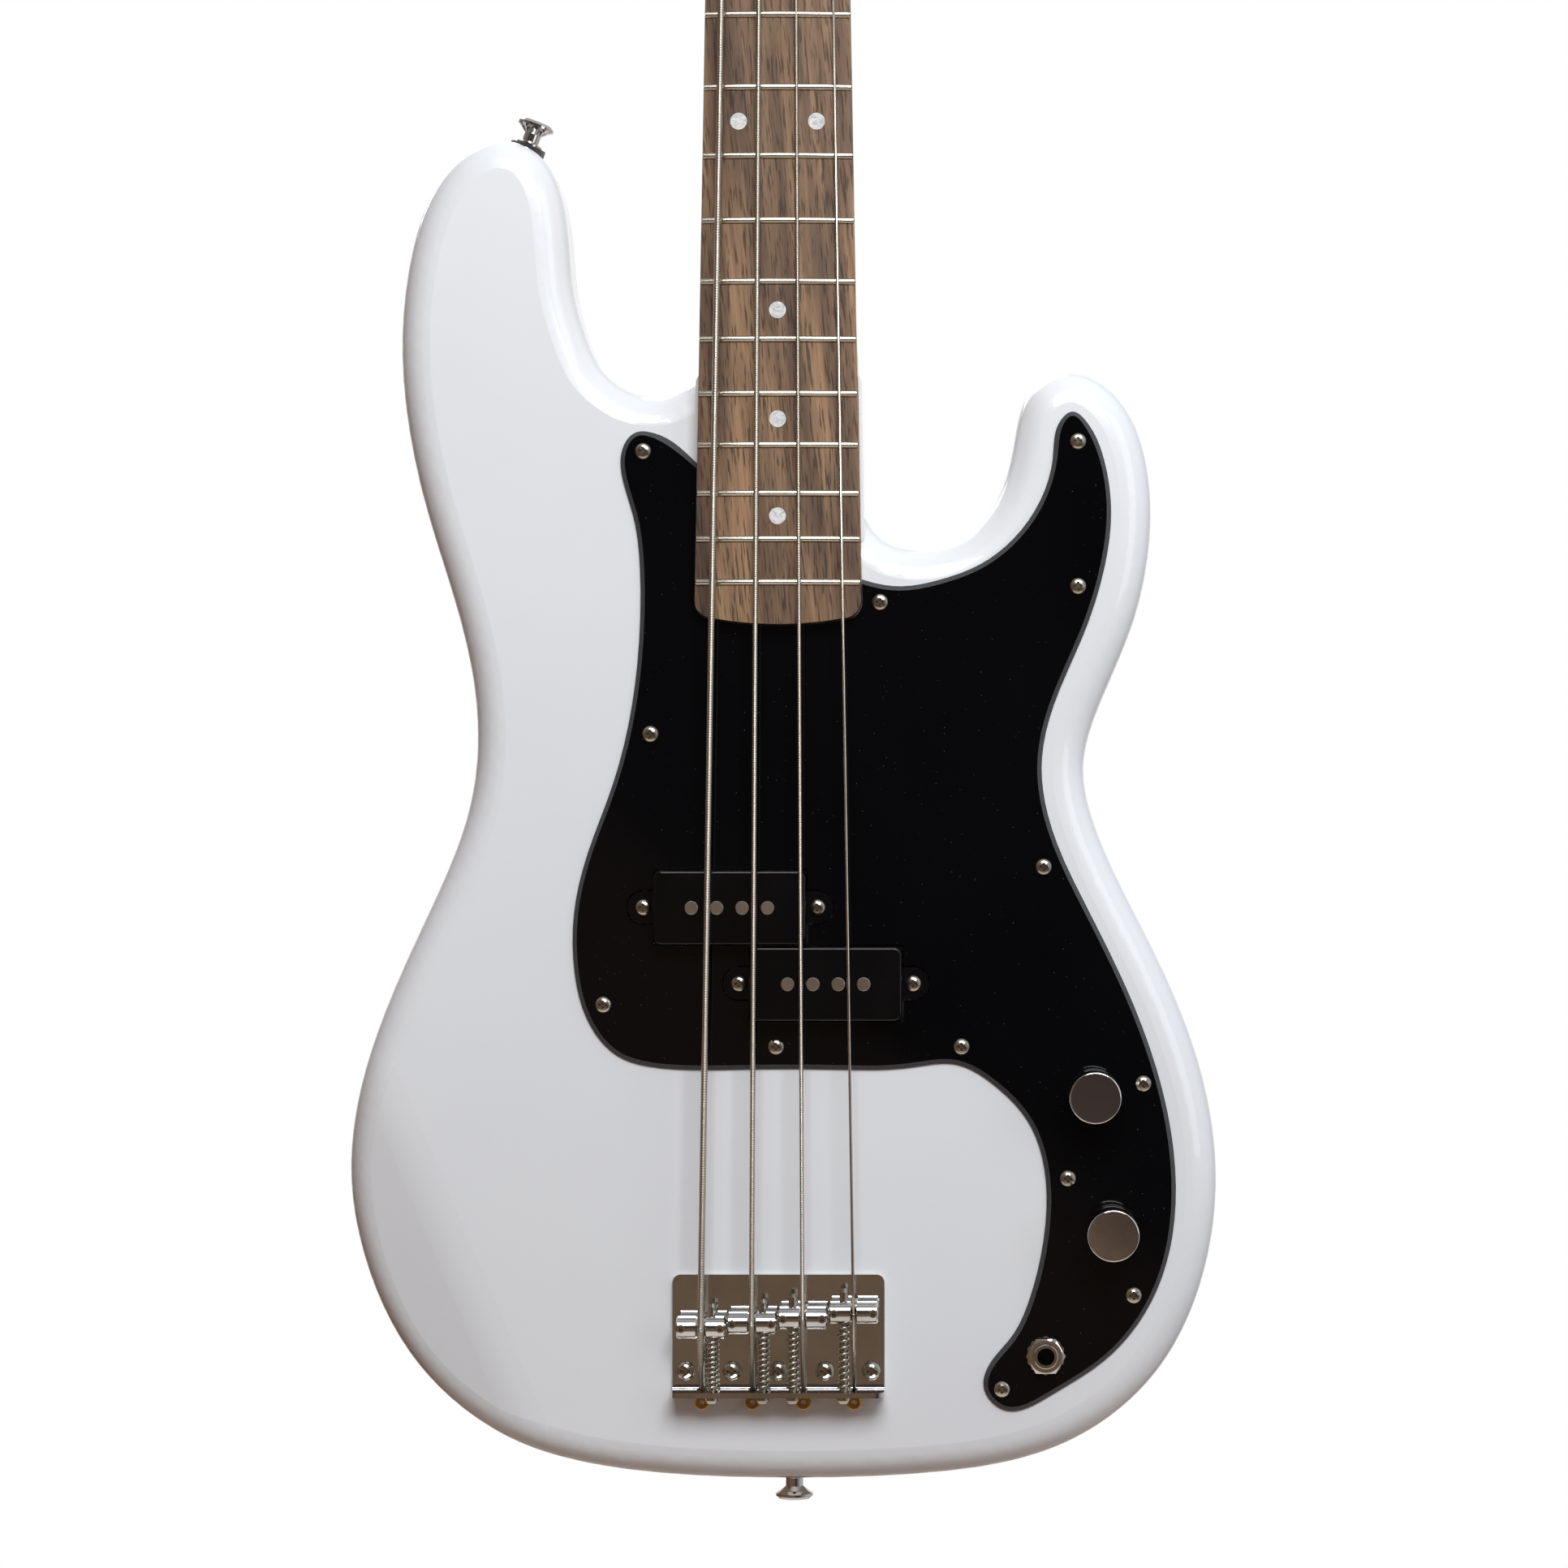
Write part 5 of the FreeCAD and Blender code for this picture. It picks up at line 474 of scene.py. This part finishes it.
def jack_nut():
    """The jack's hexagon nut with its corners turned off in front, on a washer with a toothed rim."""
    name = "jack_nut"
    low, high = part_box(name)
    centre = ((low.x + high.x) / 2, (low.z + high.z) / 2)
    rim = (high.x - low.x) / 2
    flat = rim * NUT_FLAT_SHARE
    bore = rim * NUT_BORE_SHARE
    land = flat * NUT_LAND_SHARE
    front = -low.y
    back = -high.y
    seat = back + WASHER_DEPTH

    def side(angle):
        return flat / math.cos(angle % (math.pi / 3) - math.pi / 6)

    def toothed(angle):
        return rim - WASHER_TOOTH * wave(angle * WASHER_TEETH / (2 * math.pi))

    form = bmesh.new()
    ring_of(form, [lambda a: (bore, seat), lambda a: (side(a), seat),
                   lambda a: (side(a), front - (side(a) - land) * NUT_SLOPE),
                   lambda a: (land, front), lambda a: (bore, front)], centre)
    ring_of(form, [lambda a: (bore, back), lambda a: (toothed(a), back), lambda a: (toothed(a), seat),
                   lambda a: (bore, seat)], centre)
    bmesh.ops.recalc_face_normals(form, faces=form.faces)
    piece = new_piece(name + "_turned", form, finish[name], "guitar")
    piece.data.set_sharp_from_angle(angle=SHARP_ANGLE)
    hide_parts(name)


jack_nut()


WINDING_COLUMNS = 8
WINDING_DEPTH_SHARE = 0.2
LONG_RUN = 0.05
STRETCH_RUN = 0.12
STRETCH_STEPS = 12
WELD = 1e-6


def welded(name):
    """A bmesh of a CAD node, with the corners that its faces share joined."""
    form = bmesh.new()
    form.from_mesh(nodes[name].data)
    bmesh.ops.remove_doubles(form, verts=form.verts, dist=WELD)
    return form


def close_holes(form):
    rims = [edge for edge in form.edges if edge.is_boundary]
    bmesh.ops.holes_fill(form, edges=rims, sides=0)


def keep_side(form, level, above):
    """Leaves only the corners above or below a level, with what hangs on them."""
    lost = [vert for vert in form.verts if (vert.co.z > level) != above]
    bmesh.ops.delete(form, geom=lost, context="VERTS")
    close_holes(form)


def winding_levels(start, end, radius, pitch):
    """Heights and radii up a wound string's straight run, with a ridge at each ring of its material."""
    depth = pitch * WINDING_DEPTH_SHARE
    levels = []
    for turn in range(math.ceil(start.z / pitch), math.floor(end.z / pitch)):
        levels += [((turn + 0.25) * pitch, radius), ((turn + 0.75) * pitch, radius - depth)]
    return levels


def stretch_levels(start, radius):
    """Heights and radii in even steps up the first length of a plain string's straight run."""
    return [(start.z + STRETCH_RUN * step / STRETCH_STEPS, radius) for step in range(1, STRETCH_STEPS + 1)]


def straight_run(form, start, end, radius, between):
    """A closed tube from start to end, through the heights and radii between them."""
    levels = [(start.z, radius)] + between + [(end.z, radius)]
    rings = []
    for level, reach in levels:
        centre = start.lerp(end, (level - start.z) / (end.z - start.z))
        ring = []
        for column in range(WINDING_COLUMNS):
            angle = 2 * math.pi * column / WINDING_COLUMNS
            ring.append(form.verts.new(centre + reach * Vector((math.cos(angle), math.sin(angle), 0))))
        rings.append(ring)
    for lower, upper in zip(rings, rings[1:]):
        for column in range(WINDING_COLUMNS):
            after = (column + 1) % WINDING_COLUMNS
            form.faces.new((lower[column], lower[after], upper[after], upper[column]))
    form.faces.new(rings[0][::-1])
    form.faces.new(rings[-1])


def two_length_string(key):
    """A string in two lengths that meet on the saddle's crest."""
    name = "string_" + key
    form = welded(name)
    spans = {face: [vert.co.z for vert in face.verts] for face in form.faces}
    run = [face for face, levels in spans.items() if max(levels) - min(levels) > LONG_RUN]
    points = {vert for face in run for vert in face.verts}
    middle = sum(vert.co.z for vert in points) / len(points)
    low = [vert.co.copy() for vert in points if vert.co.z < middle]
    high = [vert.co.copy() for vert in points if vert.co.z > middle]
    start = sum(low, Vector()) / len(low)
    end = sum(high, Vector()) / len(high)
    radius = max((point - start).length for point in low)
    bmesh.ops.delete(form, geom=run, context="FACES")
    tail = form.copy()
    keep_side(tail, middle, above=False)
    keep_side(form, middle, above=True)
    if key in STRING_PITCH:
        between = winding_levels(start, end, radius, STRING_PITCH[key])
    else:
        between = stretch_levels(start, radius)
    straight_run(form, start, end, radius, between)
    behind = new_piece(name + "_tail", tail, finish[name], None)
    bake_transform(behind)
    ahead = new_piece(name + "_wound", form, finish[name], None)
    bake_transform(ahead)
    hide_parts(name)
    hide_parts(name)


def loose_parts(form):
    """Sets of corners that hang together."""
    left = set(form.verts)
    parts = []
    while left:
        queue = [left.pop()]
        part = set(queue)
        while queue:
            for edge in queue.pop().link_edges:
                for vert in edge.verts:
                    if vert in left:
                        left.remove(vert)
                        part.add(vert)
                        queue.append(vert)
        parts.append(part)
    return parts


def middle_across(part):
    """Where a set of corners lies from the bass side to the treble side."""
    return sum(vert.co.x for vert in part) / len(part)


def saddle_springs():
    """Each spring from the bridge's wall to its saddle, as a piece of its own."""
    name = "intonation_springs"
    whole = welded(name)
    whole.verts.index_update()
    parts = sorted(loose_parts(whole), key=middle_across)
    for key, part in zip(STRING_KEYS, parts):
        kept = {vert.index for vert in part}
        form = whole.copy()
        lost = [vert for vert in form.verts if vert.index not in kept]
        bmesh.ops.delete(form, geom=lost, context="VERTS")
        piece = new_piece("spring_" + key, form, finish[name], None)
        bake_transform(piece)
        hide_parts(name)
    whole.free()


for key in STRING_KEYS:
    two_length_string(key)
saddle_springs()


def soft_copy(name, source, voxel, keep_point):
    """A bmesh with even cells, from the part of a soft CAD solid whose points pass the test."""
    form = bmesh.new()
    form.from_mesh(nodes[source].data)
    outside = [vert for vert in form.verts if not keep_point(vert.co)]
    bmesh.ops.delete(form, geom=outside, context="VERTS")
    bmesh.ops.remove_doubles(form, verts=form.verts, dist=WELD)
    rough = bpy.data.meshes.new(name + "_rough")
    form.to_mesh(rough)
    form.free()
    holder = bpy.data.objects.new(name + "_rough", rough)
    scene.collection.objects.link(holder)
    grid = holder.modifiers.new("grid", "REMESH")
    grid.mode = "VOXEL"
    grid.voxel_size = voxel
    graph = bpy.context.evaluated_depsgraph_get()
    dense = bpy.data.meshes.new_from_object(holder.evaluated_get(graph))
    form = bmesh.new()
    form.from_mesh(dense)
    bpy.data.objects.remove(holder)
    bpy.data.meshes.remove(rough)
    bpy.data.meshes.remove(dense)
    form.normal_update()
    return form


FOAM_VOXEL = 0.0008
FOAM_CELL = 0.0016
FOAM_PIT = 0.0005
FOAM_PIT_SLOPE = 2
FELT_VOXEL = 0.0003
FELT_TUFT = 0.0007
FELT_FINE = 3
FELT_FINE_SHARE = 0.5
FELT_FUZZ = 0.00022
FELT_SINK = 0.6
FELT_SWING = 0.4


def foam_pads():
    """The open-celled pads under both halves of the pickup, one piece for each half."""
    covers = [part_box("pickup_cover_" + half) for half in ("bass", "treble")]
    levels = [sum(corner.z for corner in cover) / 2 for cover in covers]
    middle = sum(levels) / 2
    for half, side in (("bass", 1), ("treble", -1)):
        form = soft_copy("foam_" + half, "pickup_foam", FOAM_VOXEL,
                         lambda point: side * (point.z - middle) > 0)
        for vert in form.verts:
            cell = noise.voronoi(vert.co / FOAM_CELL)[0]
            vert.co -= vert.normal * FOAM_PIT * max(0.0, 1 - cell[0] * FOAM_PIT_SLOPE)
        pad = new_piece("foam_pad_" + half, form, finish["pickup_foam"], "guitar")
        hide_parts("pickup_foam")
        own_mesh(pad)


def felt_ring():
    """The washer under the horn's button: pressed wool with a hairy, uneven skin."""
    form = soft_copy("felt", "strap_felt", FELT_VOXEL, lambda point: True)
    for vert in form.verts:
        spot = vert.co / FELT_TUFT
        tuft = noise.noise(spot) + FELT_FINE_SHARE * noise.noise(spot * FELT_FINE)
        vert.co -= vert.normal * FELT_FUZZ * (FELT_SINK - FELT_SWING * tuft)
    ring = new_piece("felt_ring", form, finish["strap_felt"], "guitar")
    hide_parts("strap_felt")


foam_pads()
felt_ring()


# Light: a pale room, darker and warmer in front and below, with soft boxes

def area_light(name, place, target, width, height, power, colour=(1, 1, 1)):
    data = bpy.data.lights.new(name, "AREA")
    data.shape = "RECTANGLE"
    data.size = width
    data.size_y = height
    data.energy = power
    data.color = colour
    item = bpy.data.objects.new(name, data)
    item.location = place
    item.rotation_euler = (Vector(target) - Vector(place)).to_track_quat("-Z", "Y").to_euler()
    scene.collection.objects.link(item)


COOL = (0.94, 0.975, 1.0)
area_light("key_light", (0.25, -1.38, 0.36), (0, 0, -0.4), 1.1, 0.8, 28.5, COOL)
area_light("fill_light", (1.5, -1.2, -0.2), (0, 0, -0.6), 0.8, 1.4, 4.5, COOL)
area_light("back_light", (-0.7, 1.5, 0.7), (0, 0, -0.5), 1.4, 1.4, 16.0)

ROOM_STRENGTH = 0.75
ROOM_SLANT = (0.6, 0.0, 0.8)
ROOM_WARM = rgb(118, 84, 64)
ROOM_BRIGHT = (0.72, 0.75, 0.79, 1)
FRONT_DEPTH = -0.80
FRONT_EDGE = (0.8, 0.0, 1.0)
FRONT_EDGE_SHIFT = -0.081
FRONT_EDGE_SOFT = 0.006
FRONT_THINGS = rgb(72, 62, 61)
FRONT_DARK = rgb(92, 78, 75)
FRONT_LOW = rgb(124, 104, 86)
FRONT_RIGHT = rgb(150, 148, 148)
BACKDROP_START = 0.75
BACKDROP_FULL = 0.97


def build_world():
    """White to the camera. To the object, a room: dark in front, warm below, bright above and right."""
    world = bpy.data.worlds.new("world")
    scene.world = world
    world.use_nodes = True
    tree = world.node_tree
    tree.nodes.clear()
    g = Graph(tree)
    way = g.add("ShaderNodeTexCoord").outputs["Generated"]
    slant = g.add("ShaderNodeVectorMath", {0: way, 1: ROOM_SLANT}, operation="DOT_PRODUCT").outputs["Value"]
    edge = g.add("ShaderNodeVectorMath", {0: way, 1: FRONT_EDGE}, operation="DOT_PRODUCT").outputs["Value"]
    depth = g.add("ShaderNodeSeparateXYZ", {"Vector": way}).outputs["Y"]
    walls = g.mix(g.remap(slant, -0.55, 0.6), ROOM_WARM, ROOM_BRIGHT)
    things = g.add("ShaderNodeTexNoise", {"Vector": way, "Scale": 7.0, "Detail": 3.0, "Distortion": 0.8})
    dark = g.mix(g.remap(things.outputs["Fac"], 0.40, 0.66), FRONT_THINGS, FRONT_DARK)
    over = g.remap(edge, FRONT_EDGE_SHIFT - FRONT_EDGE_SOFT, FRONT_EDGE_SHIFT + FRONT_EDGE_SOFT)
    front = g.mix(over, FRONT_LOW, dark)
    front = g.mix(g.remap(slant, 0.1, 0.75), front, FRONT_RIGHT)
    room = g.mix(g.remap(depth, FRONT_DEPTH, 0.0), front, walls)
    shine = g.add("ShaderNodeBackground", {"Color": room, "Strength": ROOM_STRENGTH})
    white = g.add("ShaderNodeBackground", {"Color": (1, 1, 1, 1), "Strength": 1.0})
    path = g.add("ShaderNodeLightPath").outputs
    mirrored = g.math("MAXIMUM", path["Is Glossy Ray"], path["Is Transmission Ray"])
    backdrop = g.math("MULTIPLY", mirrored, g.remap(depth, BACKDROP_START, BACKDROP_FULL))
    seen = g.math("MAXIMUM", path["Is Camera Ray"], backdrop)
    both = g.add("ShaderNodeMixShader", {0: seen, 1: shine.outputs[0], 2: white.outputs[0]})
    out = g.add("ShaderNodeOutputWorld")
    g.set(out.inputs["Surface"], both.outputs[0])


build_world()


# Floor, below the view of the picture

FLOOR_LEVEL = -1.6
FLOOR_RADIUS = 1.35
FLOOR_FADE_SHARE = 0.5
FLOOR_BOUNCE = rgb(112, 76, 52)


def floor_skin():
    """Pale and matte where it is seen, brown in the light it throws up, and fading towards the rim."""
    material = plain("floor_skin", rgb(233, 222, 211), rgb(225, 213, 201), 8.0, 0.7, 0.85)
    g = Graph(material.node_tree)
    paint = g.tree.nodes["Principled BSDF"].inputs["Base Color"]
    path = g.add("ShaderNodeLightPath").outputs
    mirrored = g.math("MAXIMUM", path["Is Glossy Ray"], path["Is Transmission Ray"])
    seen = g.math("MAXIMUM", path["Is Camera Ray"], mirrored)
    g.set(paint, g.mix(seen, FLOOR_BOUNCE, paint.links[0].from_socket))
    out = [node for node in g.tree.nodes if node.type == "OUTPUT_MATERIAL"][0]
    matte = out.inputs["Surface"].links[0].from_socket
    clear = g.add("ShaderNodeBsdfTransparent").outputs[0]
    spot = g.add("ShaderNodeVectorMath", {0: g.coords()}, operation="LENGTH").outputs["Value"]
    faded = g.remap(spot, FLOOR_RADIUS * FLOOR_FADE_SHARE, FLOOR_RADIUS)
    both = g.add("ShaderNodeMixShader", {0: faded, 1: matte, 2: clear})
    g.set(out.inputs["Surface"], both.outputs[0])
    return material


def build_floor():
    mesh = bpy.data.meshes.new("floor")
    form = bmesh.new()
    bmesh.ops.create_circle(form, cap_ends=True, segments=128, radius=FLOOR_RADIUS)
    form.to_mesh(mesh)
    form.free()
    floor = bpy.data.objects.new("floor", mesh)
    scene.collection.objects.link(floor)
    floor.location.z = FLOOR_LEVEL
    floor.data.materials.append(floor_skin())


build_floor()
